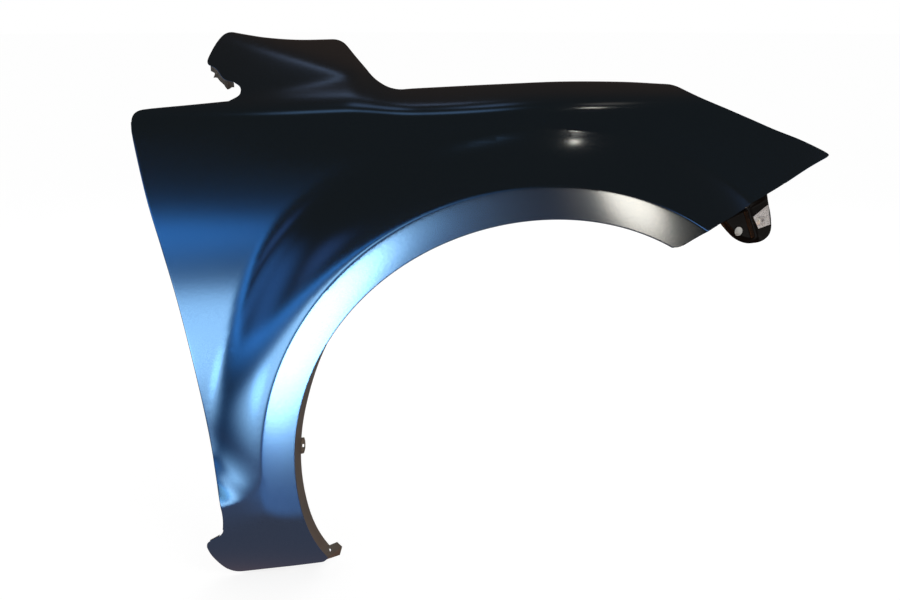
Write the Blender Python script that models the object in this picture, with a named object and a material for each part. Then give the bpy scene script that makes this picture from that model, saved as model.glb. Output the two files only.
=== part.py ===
"""Right front fender of a passenger car, pressed from one sheet of steel.

Metres, +Z up, +X toward the front of the car, the painted face toward -Y.
Every shape is drawn from the wheel centre. An empty carries the pieces, so that the
scene's origin is the flat of the hood ledge beside its middle bolt slot.
"""
import math

import bmesh
import bpy
from mathutils import Matrix, Vector
from mathutils.geometry import delaunay_2d_cdt
from mathutils.kdtree import KDTree

# Sheet and folds
SHEET = 0.0008
FOLD = 0.0020
SEAT_GAP = 0.0003
OVERRUN = 0.0060

# Wheel arch: trimmed edge, band round it, swept flare outside the band
ARCH_RADIUS = 0.3460
ARCH_REAR_ANGLE = math.radians(207.5)
ARCH_FRONT_ANGLE = math.radians(59.5)
BAND_WIDTH = 0.0440
BAND_SLOPE = 0.32
FLARE_WIDTH = 0.0700
FLARE_SWELL = 0.0330
FLARE_SWELL_ANGLE = math.radians(133)
FLARE_SWELL_SPREAD = math.radians(18)
FLARE_POWER = 1.6
FLARE_HEEL_ANGLE = math.radians(178)
CREST_DEPTH = 0.0020

# How far the panel runs past the arch to the rear, the front and the hood, the rise of its rear
# corner above the hood line, and the sill's place below the rear end of the arch
REAR_BEYOND = 0.1980
FRONT_BEYOND = 0.0900
HOOD_BEYOND = 0.1720
TAB_RISE = 0.0620
SILL_BELOW_ARCH = 0.0192
SILL_DROP = SILL_BELOW_ARCH - ARCH_RADIUS * math.sin(ARCH_REAR_ANGLE)
REAR_REACH = ARCH_RADIUS + REAR_BEYOND
FRONT_REACH = ARCH_RADIUS + FRONT_BEYOND
HOOD_HEIGHT = ARCH_RADIUS + HOOD_BEYOND

# From the ends of the arch's round edge to the corners at the sill and at the bumper edge
HEEL_RUN = 0.0059
HEEL_DROP = 0.0137
TOE_RUN = 0.0092
TOE_DROP = 0.0013

# Body side: set back from the arch crest, crowned in height, bowed in plan
SIDE_SETBACK = 0.0240
CROWN_RADIUS = 2.6000
CROWN_HEIGHT = 0.1500
BOW_RADIUS = 0.7600
BOW_START = -0.0400
BOW_EASE = 0.0600

# Shoulder along the hood, and the ridge that runs down from its front end
SHOULDER_DROP = 0.0370
SHOULDER_RISE = 0.0140
SHOULDER_RISE_SHARE = -0.386
SHOULDER_RISE_LENGTH = 0.2600
SHOULDER_SLOPE = 2.8
SHOULDER_EASE = 0.0140
RIDGE_DEPTH = 0.0090
RIDGE_SHARE = -0.423
RIDGE_DROP = 0.0560
RIDGE_LENGTH = 0.1100
RIDGE_HEIGHT = 0.0260

# Corner at the foot of the windscreen pillar, with two creases that leave one apex
APEX_SHARE = -0.412
APEX_DROP = 0.0160
LOW_CREASE_RUN = 0.237
LOW_CREASE_TURN = 1.4
LOW_CREASE_EASE = 0.0070
LOW_CREASE_LIFT = 0.0040
HIGH_CREASE_RUN = -0.172
HIGH_CREASE_TURN = 0.9
HIGH_CREASE_EASE = 0.0100
LOW_CREASE_FRONT_RUN = 1.0
HIGH_CREASE_FRONT_RUN = 1.6

# Sill end: a crease closes the flare, and the sheet tucks under the car
SILL_CREASE_SHARE = -0.8235
SILL_CREASE_DROP = 0.0570
SILL_CREASE_RUN = 0.30
SILL_CREASE_BLEND = 0.0450
TUCK_DROP = 0.0500
TUCK_EASE = 0.0400
TUCK_RADIUS = 0.1700

# Folded flanges
ARCH_FLANGE = 0.0220
ARCH_SPLAY = 0.0070
FOOT_FLANGE = 0.0340
FOOT_SPLAY = 0.0200
FOOT_DROP = 0.1300
FOOT_LENGTH = 0.0120
EAR_ANGLE = math.radians(176.5)
EAR_LENGTH = 0.0320
EAR_DEPTH = 0.0075
GUTTER_DRAFT = 0.0030
LEDGE_DROP = 0.0280
LEDGE_WIDTH = 0.0280
LAMP_FLANGE = 0.0140
BUMPER_FLANGE = 0.0140
TAB_FLANGE = 0.0100
TOP_FLANGE = 0.0110
DOOR_FLANGE = 0.0180
LUG_DEPTH = 0.0220
LUG_DROP = 0.1280
LUG_SPREAD = 0.0260
SILL_FLANGE = 0.0280
SILL_END_FLANGE = 0.0160
SILL_NOTCH_FLANGE = 0.0060
# How far each fold's first row leans out and inboard, in shares of the fold
ARCH_FOLD_SHARES = (0.45, 0.85)
HOOD_FOLD_SHARES = (0, 0.9)
SQUARE_FOLD_SHARES = (0, 1)
OPEN_FOLD_SHARES = (0.4, 0.9)
DOOR_FOLD_SHARES = (0.5, 0.8)
EAR_ROW_SHARES = (0.4, 1)
HOOK_FOOT_SHARES = (0.4, 0.8)
HOOK_FLANGE = 0.0050
HOOK_FOOT = 0.0060
HOOK_FOOT_SPREAD = 0.0035

# Holes
BOLT_HOLE = 0.0090
BOLT_SLOT = 0.0160
SCREW_HOLE = 0.0060
EAR_SLOT = 0.0070
EAR_SLOT_WIDTH = 0.0030

# Bracket under the bumper edge: width, drop below the edge, weld strip behind the skin
BRACKET_SHEET = 0.0012
BRACKET_WIDTH = 0.0900
BRACKET_DROP = 0.0600
BRACKET_WELD = 0.0160
BRACKET_YAW = math.radians(19)
BRACKET_INSET = 0.0080
BRACKET_BLEND = 0.0100
BRACKET_RIB = 0.0035
BRACKET_RIB_WIDTH = 0.0030
WELD_GAP = 0.0009

# Push rivet and clip nut on the bracket
RIVET_HEAD = 0.0130
RIVET_RIM = 0.0012
RIVET_DOME = 0.0024
RIVET_SHANK = 0.0060
RIVET_LENGTH = 0.0120
RIVET_BARB = 0.0080
RIVET_CLEARANCE = 0.0006
RIVET_DOME_SHARES = ((0.45, 0.82), (0.80, 0.20), (0.84, 0))
RIVET_EDGE_SHARE = 0.8
RIVET_NECK_SHARE = 0.35
RIVET_BARB_SHARE = 0.55
RIVET_TIP_SHARE = 0.5
CLIP_SHEET = 0.0008
CLIP_BACK_LENGTH = 0.0260
NUT_WIDTH = 0.0105
NUT_DEPTH = 0.0035
NUT_BORE = 0.0052
NUT_PASSAGE = 0.0090
NUT_BEVEL = 0.0009
CLIP_TAPER_SHARE = 0.6

# Facet sizes
EDGE_STEP = 0.0150
FACE_STEP = 0.0180
EAR_STEP = 0.0045
BRACKET_STEP = 0.0050
CORNER_STEPS = 4
FLARE_LEAD = 8
FLARE_TAIL = 8
PROBE = 0.0002
ORDER_SLACK = 0.01
SETTLE_ROUNDS = 6
HOLE_STEPS = 12
RIVET_STEPS = 24
CLIP_BENDS = 6

# Trimmed edge, run by run and counter-clockwise: along in shares of the front or rear reach,
# up in shares of the hood height, and past 1 of the corner's rise, below 0 of the sill's drop.
# The bumper edge starts at the arch's toe, and the sill ends at its heel.
BUMPER_EDGE_SHARES = ((0.5196, 0.6193), (0.646, 0.6565), (0.781, 0.7015), (0.914, 0.751),
                      (1.011, 0.780))
LAMP_EDGE_SHARES = ((1.011, 0.780), (0.972, 0.797), (0.875, 0.832), (0.772, 0.864), (0.687, 0.893),
                    (0.602, 0.922), (0.503, 0.956), (0.429, 0.987))
HOOD_EDGE_SHARES = ((0.429, 0.987), (0.385, 0.989), (0.256, 0.998), (0.062, 1.000), (-0.103, 0.993),
                    (-0.255, 0.983), (-0.331, 0.979), (-0.373, 0.976))
TAB_FRONT_SHARES = ((-0.373, 0.976), (-0.4166, 1.012), (-0.4484, 1.274), (-0.479, 1.547), (-0.511, 1.845))
TAB_TOP_SHARES = ((-0.511, 1.845), (-0.620, 1.831), (-0.699, 1.866), (-0.752, 1.921), (-0.811, 2.030))
TAB_REAR_SHARES = ((-0.811, 2.030), (-0.830, 1.777), (-0.841, 1.517), (-0.8455, 1.355))
HOOK_EDGE_SHARES = ((-0.8455, 1.355), (-0.8185, 1.260), (-0.795, 1.060), (-0.769, 0.999))
NOTCH_SHARES = ((-0.769, 0.999), (-0.755, 0.991), (-0.749, 0.982), (-0.751, 0.968), (-0.7735, 0.955))
TOP_EDGE_SHARES = ((-0.7735, 0.955), (-0.8645, 0.947), (-0.959, 0.939), (-1.000, 0.933))
DOOR_EDGE_SHARES = ((-1.000, 0.933), (-0.9975, 0.8985), (-0.9935, 0.8655), (-0.967, 0.717), (-0.937, 0.589),
                    (-0.908, 0.459), (-0.8835, 0.3245), (-0.862, 0.1855), (-0.8435, 0.0445), (-0.8265, -0.2445),
                    (-0.8205, -0.363), (-0.820, -0.447), (-0.8235, -0.542))
SILL_NOTCH_SHARES = ((-0.8235, -0.542), (-0.845, -0.585), (-0.8695, -0.629))
SILL_END_SHARES = ((-0.8695, -0.629), (-0.867, -0.682), (-0.858, -0.773), (-0.8355, -0.915), (-0.811, -1.000))
SILL_EDGE_SHARES = ((-0.811, -1.000), (-0.7055, -0.989), (-0.638, -0.963))

# How far each run is cut back at the corner where it starts, for the corner's rounding
BUMPER_CORNER = 0.0070
TIP_CORNER = 0.0070
LAMP_CORNER = 0.0100
TAB_FOOT_CORNER = 0.0160
TAB_TOP_CORNER = 0.0140
TAB_END_CORNER = 0.0110
HOOK_CORNER = 0.0070
DOOR_TOP_CORNER = 0.0130
DOOR_FOOT_CORNER = 0.0070
SILL_TAIL_CORNER = 0.0070
SILL_HEEL_CORNER = 0.0120
ARCH_FOOT_CORNER = 0.0050

# Rows of points between the creases, as shares of the band or the flare
BAND_ROW_SHARES = (0.35, 0.70)
FLARE_ROW_SHARES = (0.25, 0.50, 0.75)

# Bracket outline: along in shares of its width, up in shares of its drop below the edge
BRACKET_SHARES = ((-0.494, -0.45), (-0.373, -0.635), (-0.232, -0.82), (-0.073, -0.945), (0.082, -1.0),
                  (0.235, -0.98), (0.366, -0.91), (0.446, -0.795), (0.471, -0.65), (0.462, -0.505),
                  (0.436, -0.305), (0.395, -0.11), (0.345, 0.16))
BRACKET_SPOT_SHARE = 0.445
BRACKET_TOP_SHARES = ((0.33, 0.41), (0.0, 0.17), (-0.36, -0.09))
RIB_TOP_SHARES = (-0.04, -0.12)
RIB_FOOT_SHARES = (0.15, -0.81)
RIVET_SHARES = (-0.162, -0.66)
NUT_SHARES = (0.253, -0.43)
CLIP_SHARES = ((0.400, -0.08), (0.100, -0.34), (0.218, -0.635), (0.472, -0.56))

# Places of the holes
LEDGE_SLOT_SHARES = (-0.26, 0.02, 0.29)
LEDGE_SLOT_ROW_SHARE = 0.55
LINER_SCREW_ANGLES = tuple(math.radians(angle) for angle in (72, 98, 124, 150, 192))
LINER_SCREW_ROW_SHARE = 0.55
FOOT_SCREW_ANGLE = math.radians(203.5)
FOOT_SCREW_ROW_SHARE = 0.6
SILL_HOLE_SHARES = (-0.770, -0.655)
SILL_HOLE_ROW_SHARE = 0.6
LUG_HOLE_SHARE = 0.35
MID_SHARE = 0.5
ORIGIN_SHARE = 0.10
LEDGE_SEAT_SHARE = 0.75

PAINT_COLOUR = (0.050, 0.130, 0.340, 1.0)
BLACK_COLOUR = (0.010, 0.010, 0.011, 1.0)
WHITE_COLOUR = (0.75, 0.75, 0.73, 1.0)
ZINC_COLOUR = (0.62, 0.63, 0.64, 1.0)

INBOARD = Vector((0, 1, 0))
UP = Vector((0, 0, 1))


def clear_scene():
    for item in list(bpy.data.objects):
        bpy.data.objects.remove(item, do_unlink=True)


def soft_rise(distance, ease):
    """Zero below the start and a straight rise above it, rounded over the ease."""
    return (distance + math.sqrt(distance * distance + ease * ease)) / 2


def soft_min(first, second, blend):
    overlap = max(blend - abs(first - second), 0) / blend
    return min(first, second) - overlap * overlap * blend / 4


def ramp(value):
    value = min(1, max(0, value))
    return value * value * (3 - 2 * value)


def bell(distance, spread):
    return math.exp(-(distance / spread) ** 2)


def plan_bow(x):
    """How far the car's side has swept inboard at x, seen from above."""
    return soft_rise(x - BOW_START, BOW_EASE) ** 2 / (2 * BOW_RADIUS)


def shoulder_height(x):
    start = SHOULDER_RISE_SHARE * REAR_REACH
    return HOOD_HEIGHT - SHOULDER_DROP + SHOULDER_RISE * ramp((x - start) / SHOULDER_RISE_LENGTH)


def body_side(x, z):
    """Depth of the pressed side outside the flare, up to the hood and the pillar."""
    depth = SIDE_SETBACK + plan_bow(x) + (z - CROWN_HEIGHT) ** 2 / (2 * CROWN_RADIUS)
    ridge = bell(x - RIDGE_SHARE * REAR_REACH, RIDGE_LENGTH)
    depth += RIDGE_DEPTH * ridge * bell(z - HOOD_HEIGHT + RIDGE_DROP, RIDGE_HEIGHT)
    shoulder = shoulder_height(x)
    depth += SHOULDER_SLOPE * soft_rise(z - shoulder, SHOULDER_EASE)
    apex_x = APEX_SHARE * REAR_REACH
    apex_z = HOOD_HEIGHT - APEX_DROP
    behind = x < apex_x
    low_run = LOW_CREASE_RUN if behind else LOW_CREASE_FRONT_RUN
    high_run = HIGH_CREASE_RUN if behind else HIGH_CREASE_FRONT_RUN
    low_crease = apex_z + low_run * (x - apex_x)
    if behind:
        low_crease = max(low_crease, shoulder + LOW_CREASE_LIFT)
    high_crease = apex_z + high_run * (x - apex_x)
    depth -= LOW_CREASE_TURN * soft_rise(z - low_crease, LOW_CREASE_EASE)
    depth += HIGH_CREASE_TURN * soft_rise(z - high_crease, HIGH_CREASE_EASE)
    return depth


def crest(x, z):
    """Depth of the flare's crest, which also is the skin of the sill end."""
    tuck = soft_rise(-TUCK_DROP - z, TUCK_EASE) ** 2 / (2 * TUCK_RADIUS)
    return CREST_DEPTH + plan_bow(x) + tuck


def flare_distance(x, z):
    """Distance outside the crease that runs round the band and back along the sill end."""
    above_sill = z + SILL_CREASE_DROP - SILL_CREASE_RUN * (x - SILL_CREASE_SHARE * REAR_REACH)
    return soft_min(math.hypot(x, z) - ARCH_RADIUS - BAND_WIDTH, above_sill, SILL_CREASE_BLEND)


def flare_width(x, z):
    angle = math.atan2(z, x) % math.tau
    return FLARE_WIDTH + FLARE_SWELL * bell(angle - FLARE_SWELL_ANGLE, FLARE_SWELL_SPREAD)


def skin_depth(x, z):
    """Depth of the painted face at any place of the panel."""
    outside = flare_distance(x, z)
    top = crest(x, z)
    if outside <= 0:
        return top + BAND_SLOPE * max(0, ARCH_RADIUS + BAND_WIDTH - math.hypot(x, z))
    share = min(1, outside / flare_width(x, z))
    return top + (body_side(x, z) - top) * share ** FLARE_POWER


def on_skin(x, z):
    return Vector((x, skin_depth(x, z), z))


def depth_stretch(x, z):
    """Length along Y for each unit across the sheet at this place."""
    run = (skin_depth(x + PROBE, z) - skin_depth(x - PROBE, z)) / (2 * PROBE)
    rise = (skin_depth(x, z + PROBE) - skin_depth(x, z - PROBE)) / (2 * PROBE)
    return math.sqrt(1 + run * run + rise * rise)


def spot(x_share, z_share):
    """Place in the side view that a pair of shares stands for."""
    x = x_share * (FRONT_REACH if x_share > 0 else REAR_REACH)
    if z_share < 0:
        return Vector((x, z_share * SILL_DROP))
    if z_share <= 1:
        return Vector((x, z_share * HOOD_HEIGHT))
    return Vector((x, HOOD_HEIGHT + (z_share - 1) * TAB_RISE))


def smooth_line(points, step):
    """Points about a step apart on a smooth curve through the given ones."""
    line = [points[0]]
    for index in range(len(points) - 1):
        start, end = points[index], points[index + 1]
        before = points[index - 1] if index else 2 * start - end
        after = points[index + 2] if index + 2 < len(points) else 2 * end - start
        count = max(1, round((end - start).length / step))
        for number in range(1, count + 1):
            t = number / count
            line.append(0.5 * (2 * start + (end - before) * t
                               + (2 * before - 5 * start + 4 * end - after) * t * t
                               + (3 * start - before - 3 * end + after) * t * t * t))
    return line


def cut_back(line, length):
    """The line without its last stretch of this length."""
    line = list(line)
    while len(line) > 2 and (line[-1] - line[-2]).length <= length:
        length -= (line[-1] - line[-2]).length
        line.pop()
    last = (line[-1] - line[-2]).length
    line[-1] = line[-1].lerp(line[-2], min(MID_SHARE, length / last) if length < last else MID_SHARE)
    return line


def arch_spot(angle, radius):
    return Vector((math.cos(angle), math.sin(angle))) * radius


def arch_heel():
    """The corner where the arch's edge meets the sill."""
    return arch_spot(ARCH_REAR_ANGLE, ARCH_RADIUS) - Vector((HEEL_RUN, HEEL_DROP))


def arch_toe():
    """The corner where the arch's edge meets the bumper edge."""
    return arch_spot(ARCH_FRONT_ANGLE, ARCH_RADIUS) + Vector((TOE_RUN, -TOE_DROP))


def arch_line():
    """The arch edge from the sill to the bumper, with a finer stretch at the clip ear."""
    angles = []
    angle = ARCH_REAR_ANGLE
    half_ear = EAR_LENGTH / ARCH_RADIUS
    while angle > ARCH_FRONT_ANGLE:
        angles.append(angle)
        fine = abs(angle - EAR_ANGLE) < half_ear
        angle -= (EAR_STEP if fine else EDGE_STEP) / ARCH_RADIUS
    if (angles[-1] - ARCH_FRONT_ANGLE) * ARCH_RADIUS < EAR_STEP:
        angles.pop()
    angles.append(ARCH_FRONT_ANGLE)
    edge = [arch_spot(angle, ARCH_RADIUS) for angle in angles]
    return [arch_heel()] + edge + [arch_toe()]


def trimmed_edge():
    """All points round the panel, and the first and last of each named run."""
    shares = (("bumper", BUMPER_EDGE_SHARES, BUMPER_CORNER), ("lamp", LAMP_EDGE_SHARES, TIP_CORNER),
              ("hood", HOOD_EDGE_SHARES, LAMP_CORNER), ("tab_front", TAB_FRONT_SHARES, TAB_FOOT_CORNER),
              ("tab_top", TAB_TOP_SHARES, TAB_TOP_CORNER), ("tab_rear", TAB_REAR_SHARES, TAB_END_CORNER),
              ("hook", HOOK_EDGE_SHARES, HOOK_CORNER), ("notch", NOTCH_SHARES, 0),
              ("top", TOP_EDGE_SHARES, 0), ("door", DOOR_EDGE_SHARES, DOOR_TOP_CORNER),
              ("sill_notch", SILL_NOTCH_SHARES, DOOR_FOOT_CORNER),
              ("sill_end", SILL_END_SHARES, SILL_TAIL_CORNER), ("sill", SILL_EDGE_SHARES, SILL_HEEL_CORNER))
    lines = [["arch", arch_line(), ARCH_FOOT_CORNER]]
    for name, run, corner in shares:
        step = EAR_STEP if name in ("hook", "notch") else EDGE_STEP
        corners = [spot(*pair) for pair in run]
        if name == "bumper":
            corners.insert(0, arch_toe())
        if name == "sill":
            corners.append(arch_heel())
        lines.append([name, smooth_line(corners, step), corner])
    edge = []
    ranges = {}
    for index, (name, line, corner) in enumerate(lines):
        next_corner = lines[(index + 1) % len(lines)][2]
        kept = cut_back(line, next_corner) if next_corner else list(line)
        if corner:
            kept = cut_back(kept[::-1], corner)[::-1]
            turn = line[0]
            before = cut_back(lines[index - 1][1], corner)[-1]
            for number in range(1, CORNER_STEPS):
                t = number / CORNER_STEPS
                edge.append(before.lerp(turn, t).lerp(turn.lerp(kept[0], t), t))
        else:
            kept = kept[1:]
        first = len(edge) if corner else len(edge) - 1
        edge.extend(kept)
        ranges[name] = (first, len(edge) - 1)
    return edge, ranges


def settle(point, share):
    """Move a point onto the line where the flare has run this share of its width."""
    def miss(x, z):
        return flare_distance(x, z) - share * flare_width(x, z)

    for _ in range(SETTLE_ROUNDS):
        x, z = point
        value = miss(x, z)
        slope = Vector((miss(x + PROBE, z) - miss(x - PROBE, z), miss(x, z + PROBE) - miss(x, z - PROBE)))
        slope /= 2 * PROBE
        point = point - slope * (value / slope.length_squared)
    return point


def flare_row(share):
    """A row of points round the flare, from past the bumper edge to past the door edge."""
    radius = ARCH_RADIUS + BAND_WIDTH + share * FLARE_WIDTH
    sweep = FLARE_HEEL_ANGLE - ARCH_FRONT_ANGLE
    count = round(sweep * (ARCH_RADIUS + BAND_WIDTH + FLARE_WIDTH) / EDGE_STEP)
    row = [arch_spot(ARCH_FRONT_ANGLE + sweep * number / count, radius)
           for number in range(-FLARE_LEAD, count + 1)]
    heel = row[-1]
    end = Vector((SILL_CREASE_SHARE * REAR_REACH - FLARE_WIDTH, share * FLARE_WIDTH - SILL_CREASE_DROP))
    row += [heel.lerp(end, number / FLARE_TAIL) for number in range(1, FLARE_TAIL + 1)]
    return [settle(point, share) for point in row]


def sheet_from(points, edges, loop_size, depth):
    """Triangles inside the first loop, lifted to their depth; also the boundary in order."""
    places, lines, faces, _, from_edges, from_faces = delaunay_2d_cdt(
        points, edges, [list(range(loop_size))], 1, PROBE / 4)
    mesh = bmesh.new()
    verts = {}
    for face, origin in zip(faces, from_faces):
        if not origin:
            continue
        for index in face:
            if index not in verts:
                x, z = places[index]
                verts[index] = mesh.verts.new((x, depth(x, z), z))
        mesh.faces.new([verts[index] for index in face])
    order = {}
    for line, origin in zip(lines, from_edges):
        sides = [index for index in origin if index < loop_size]
        if not sides:
            continue
        start = points[sides[0]]
        length = (points[(sides[0] + 1) % loop_size] - start).length
        for index in line:
            if index in verts:
                share = (places[index] - start).length / length
                place = sides[0] + share
                order[verts[index]] = min(order.get(verts[index], place), place)
    ring = sorted(order, key=order.get)
    return mesh, ring, order


def flange(mesh, run, rows):
    """Fold a flange along the run; each row places a point from its foot and the way out."""
    outs = []
    for index, vert in enumerate(run):
        ahead = run[min(index + 1, len(run) - 1)].co
        behind = run[max(index - 1, 0)].co
        along = Vector((ahead.x - behind.x, 0, ahead.z - behind.z)).normalized()
        outs.append(Vector((along.z, 0, -along.x)))
    previous = list(run)
    feet = [vert.co.copy() for vert in run]
    for row in rows:
        current = [mesh.verts.new(row(foot, out)) for foot, out in zip(feet, outs)]
        for index in range(len(run) - 1):
            mesh.faces.new((previous[index + 1], previous[index], current[index], current[index + 1]))
        previous = current
    return previous


def fold_row(out_share, in_share):
    return lambda foot, out: foot + out * (FOLD * out_share) + INBOARD * (FOLD * in_share)


def reach_row(out_reach, in_reach):
    return lambda foot, out: foot + out * out_reach + INBOARD * in_reach


def arch_flange_size(z):
    """Width and splay of the arch flange, which widens to a foot at the sill."""
    share = ramp((-FOOT_DROP - z) / FOOT_LENGTH)
    width = ARCH_FLANGE + share * (FOOT_FLANGE - ARCH_FLANGE)
    return width, ARCH_SPLAY + share * (FOOT_SPLAY - ARCH_SPLAY)


def arch_flange_point(angle, share):
    edge = arch_spot(angle, ARCH_RADIUS)
    foot = on_skin(*edge)
    width, splay = arch_flange_size(foot.z)
    out = Vector((-math.cos(angle), 0, -math.sin(angle)))
    return foot + out * (splay * share) + INBOARD * (width * share), out


def arch_row(share):
    def row(foot, out):
        width, splay = arch_flange_size(foot.z)
        return foot + out * (splay * share) + INBOARD * (width * share)
    return row


def lug_depth(z):
    return DOOR_FLANGE + LUG_DEPTH * ramp(2 - abs(z - HOOD_HEIGHT + LUG_DROP) / LUG_SPREAD)


def door_row(foot, out):
    return foot + INBOARD * lug_depth(foot.z)


def ledge_row(share):
    def row(foot, out):
        return Vector((foot.x, foot.y + GUTTER_DRAFT + LEDGE_WIDTH * share, HOOD_HEIGHT - LEDGE_DROP))
    return row


def sill_row(in_reach):
    return lambda foot, out: Vector((foot.x, foot.y + in_reach, -SILL_DROP))


def add_flanges(mesh, ring, order, ranges):
    def part_of(name, low=-math.inf, high=math.inf):
        first, last = ranges[name]
        return [vert for vert in ring if first - ORDER_SLACK <= order[vert] <= last + ORDER_SLACK
                and low <= vert.co.x <= high]

    arch = part_of("arch")
    arch_end = flange(mesh, arch, [fold_row(*ARCH_FOLD_SHARES), arch_row(1)])
    ear = [vert for vert in arch_end
           if abs(math.atan2(vert.co.z, vert.co.x) % math.tau - EAR_ANGLE) * ARCH_RADIUS < EAR_LENGTH / 2]

    def ear_row(share):
        def row(foot, out):
            place = (math.atan2(foot.z, foot.x) % math.tau - EAR_ANGLE) * 2 * ARCH_RADIUS / EAR_LENGTH
            bulge = math.sqrt(max(0, 1 - place ** 4)) + PROBE / EAR_DEPTH
            way = Vector((-foot.x, 0, -foot.z)).normalized()
            return foot + way * (EAR_DEPTH * bulge * share) + INBOARD * (FOLD * share)
        return row

    flange(mesh, ear, [ear_row(share) for share in EAR_ROW_SHARES])
    ledge = [ledge_row(share) for share in (0, MID_SHARE, 1)]
    flange(mesh, part_of("hood"), [fold_row(*HOOD_FOLD_SHARES)] + ledge)
    flange(mesh, part_of("lamp"), [fold_row(*SQUARE_FOLD_SHARES), reach_row(-FOLD, LAMP_FLANGE)])
    start = bracket_base().x
    half = BRACKET_WIDTH * MID_SHARE + 2 * OVERRUN
    for low, high in ((-math.inf, start - half), (start + half, math.inf)):
        run = part_of("bumper", low, high)
        if len(run) > 1:
            flange(mesh, run, [fold_row(*OPEN_FOLD_SHARES), reach_row(0, BUMPER_FLANGE)])
    flange(mesh, part_of("tab_front"), [fold_row(*SQUARE_FOLD_SHARES), reach_row(-TAB_FLANGE, TAB_FLANGE)])
    flange(mesh, part_of("tab_top"), [fold_row(*SQUARE_FOLD_SHARES), reach_row(-TAB_FLANGE, TAB_FLANGE)])
    flange(mesh, part_of("tab_rear"), [fold_row(*SQUARE_FOLD_SHARES), reach_row(0, TAB_FLANGE)])
    hook = part_of("hook")
    feet = [hook[int(len(hook) * share)].co.copy() for share in HOOK_FOOT_SHARES]

    def hook_row(foot, out):
        reach = HOOK_FLANGE + HOOK_FOOT * sum(bell((foot - place).length, HOOK_FOOT_SPREAD) for place in feet)
        return foot + out * reach + INBOARD * (2 * HOOK_FLANGE)

    flange(mesh, hook, [fold_row(*OPEN_FOLD_SHARES), hook_row])
    lean = -TOP_FLANGE * MID_SHARE
    flange(mesh, part_of("top"), [fold_row(*SQUARE_FOLD_SHARES), reach_row(lean, TOP_FLANGE)])
    flange(mesh, part_of("door"), [fold_row(*DOOR_FOLD_SHARES), door_row])
    flange(mesh, part_of("sill_notch"), [fold_row(*OPEN_FOLD_SHARES), reach_row(0, SILL_NOTCH_FLANGE)])
    flange(mesh, part_of("sill_end"), [fold_row(*OPEN_FOLD_SHARES), reach_row(0, SILL_END_FLANGE)])
    flange(mesh, part_of("sill"), [sill_row(FOLD), sill_row(SILL_FLANGE * MID_SHARE), sill_row(SILL_FLANGE)])


def clear_of(tree, point, distance):
    return tree.find((point.x, point.y, 0))[2] > distance


def panel_points():
    """Edge, crease and face points of the panel with the edges that must stay lines."""
    edge, ranges = trimmed_edge()
    points = list(edge)
    lines = [(index, (index + 1) % len(edge)) for index in range(len(edge))]
    for share in (0, 1):
        row = flare_row(share)
        first = len(points)
        points += row
        lines += [(first + index, first + index + 1) for index in range(len(row) - 1)]
    for share in FLARE_ROW_SHARES:
        points += spread([flare_row(share)], points[:len(edge)], EDGE_STEP * MID_SHARE)
    band_angle = ARCH_REAR_ANGLE - ARCH_FRONT_ANGLE
    for share in BAND_ROW_SHARES:
        radius = ARCH_RADIUS + share * BAND_WIDTH
        count = round(band_angle * radius / EDGE_STEP)
        row = [arch_spot(ARCH_FRONT_ANGLE + band_angle * number / count, radius)
               for number in range(count + 1)]
        points += spread([row], points[:len(edge)], EDGE_STEP * MID_SHARE)
    rows = []
    height = FACE_STEP * math.sqrt(3) / 2
    for level in range(round((HOOD_HEIGHT + TAB_RISE + SILL_DROP) / height)):
        shift = FACE_STEP / 2 if level % 2 else 0
        z = level * height - SILL_DROP
        count = round((REAR_REACH + FRONT_REACH) / FACE_STEP)
        rows.append([Vector((number * FACE_STEP + shift - REAR_REACH, z)) for number in range(count)])
    rows = [[point for point in row if point.length > ARCH_RADIUS + BAND_WIDTH
             and (flare_distance(*point) > flare_width(*point) or flare_distance(*point) < 0)] for row in rows]
    points += spread(rows, points, FACE_STEP * MID_SHARE)
    return points, lines, len(edge), ranges


def spread(rows, taken, distance):
    tree = KDTree(len(taken))
    for index, point in enumerate(taken):
        tree.insert((point.x, point.y, 0), index)
    tree.balance()
    return [point for row in rows for point in row if clear_of(tree, point, distance)]


def drill(mesh, place, axis, width, depth, length=0, along=None):
    """Add the tool for a round hole, or for a slot of this length, to the tool mesh."""
    axis = axis.normalized()
    if along is None:
        along = axis.orthogonal()
    along = (along - axis * along.dot(axis)).normalized()
    across = axis.cross(along)
    stretch = max(0, length - width) / 2
    rim = []
    for number in range(HOLE_STEPS):
        angle = math.tau * (number + MID_SHARE) / HOLE_STEPS
        slide = math.copysign(stretch, math.cos(angle))
        slide += math.cos(angle) * width / 2
        rim.append(place + along * slide + across * (math.sin(angle) * width / 2))
    low = [mesh.verts.new(point - axis * depth) for point in rim]
    face = mesh.faces.new(low)
    top = bmesh.ops.extrude_face_region(mesh, geom=[face])["geom"]
    moved = [item for item in top if isinstance(item, bmesh.types.BMVert)]
    bmesh.ops.translate(mesh, vec=axis * (2 * depth), verts=moved)
    if face.is_valid and face.normal.dot(axis) > 0:
        face.normal_flip()


def finish_object(mesh, name, parent, material=None, smooth_angle=None):
    data = bpy.data.meshes.new(name)
    mesh.to_mesh(data)
    mesh.free()
    item = bpy.data.objects.new(name, data)
    bpy.context.scene.collection.objects.link(item)
    item.parent = parent
    if material:
        data.materials.append(material)
    if smooth_angle is not None:
        data.shade_smooth()
        data.set_sharp_from_angle(angle=smooth_angle)
    return item


def cutter_from(mesh, name, parent):
    bmesh.ops.recalc_face_normals(mesh, faces=mesh.faces)
    cutter = finish_object(mesh, name, parent)
    cutter.hide_render = True
    cutter.display_type = 'WIRE'
    return cutter


def cut_with(item, cutter):
    boolean = item.modifiers.new("holes", 'BOOLEAN')
    boolean.operation = 'DIFFERENCE'
    boolean.solver = 'EXACT'
    boolean.object = cutter


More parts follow.
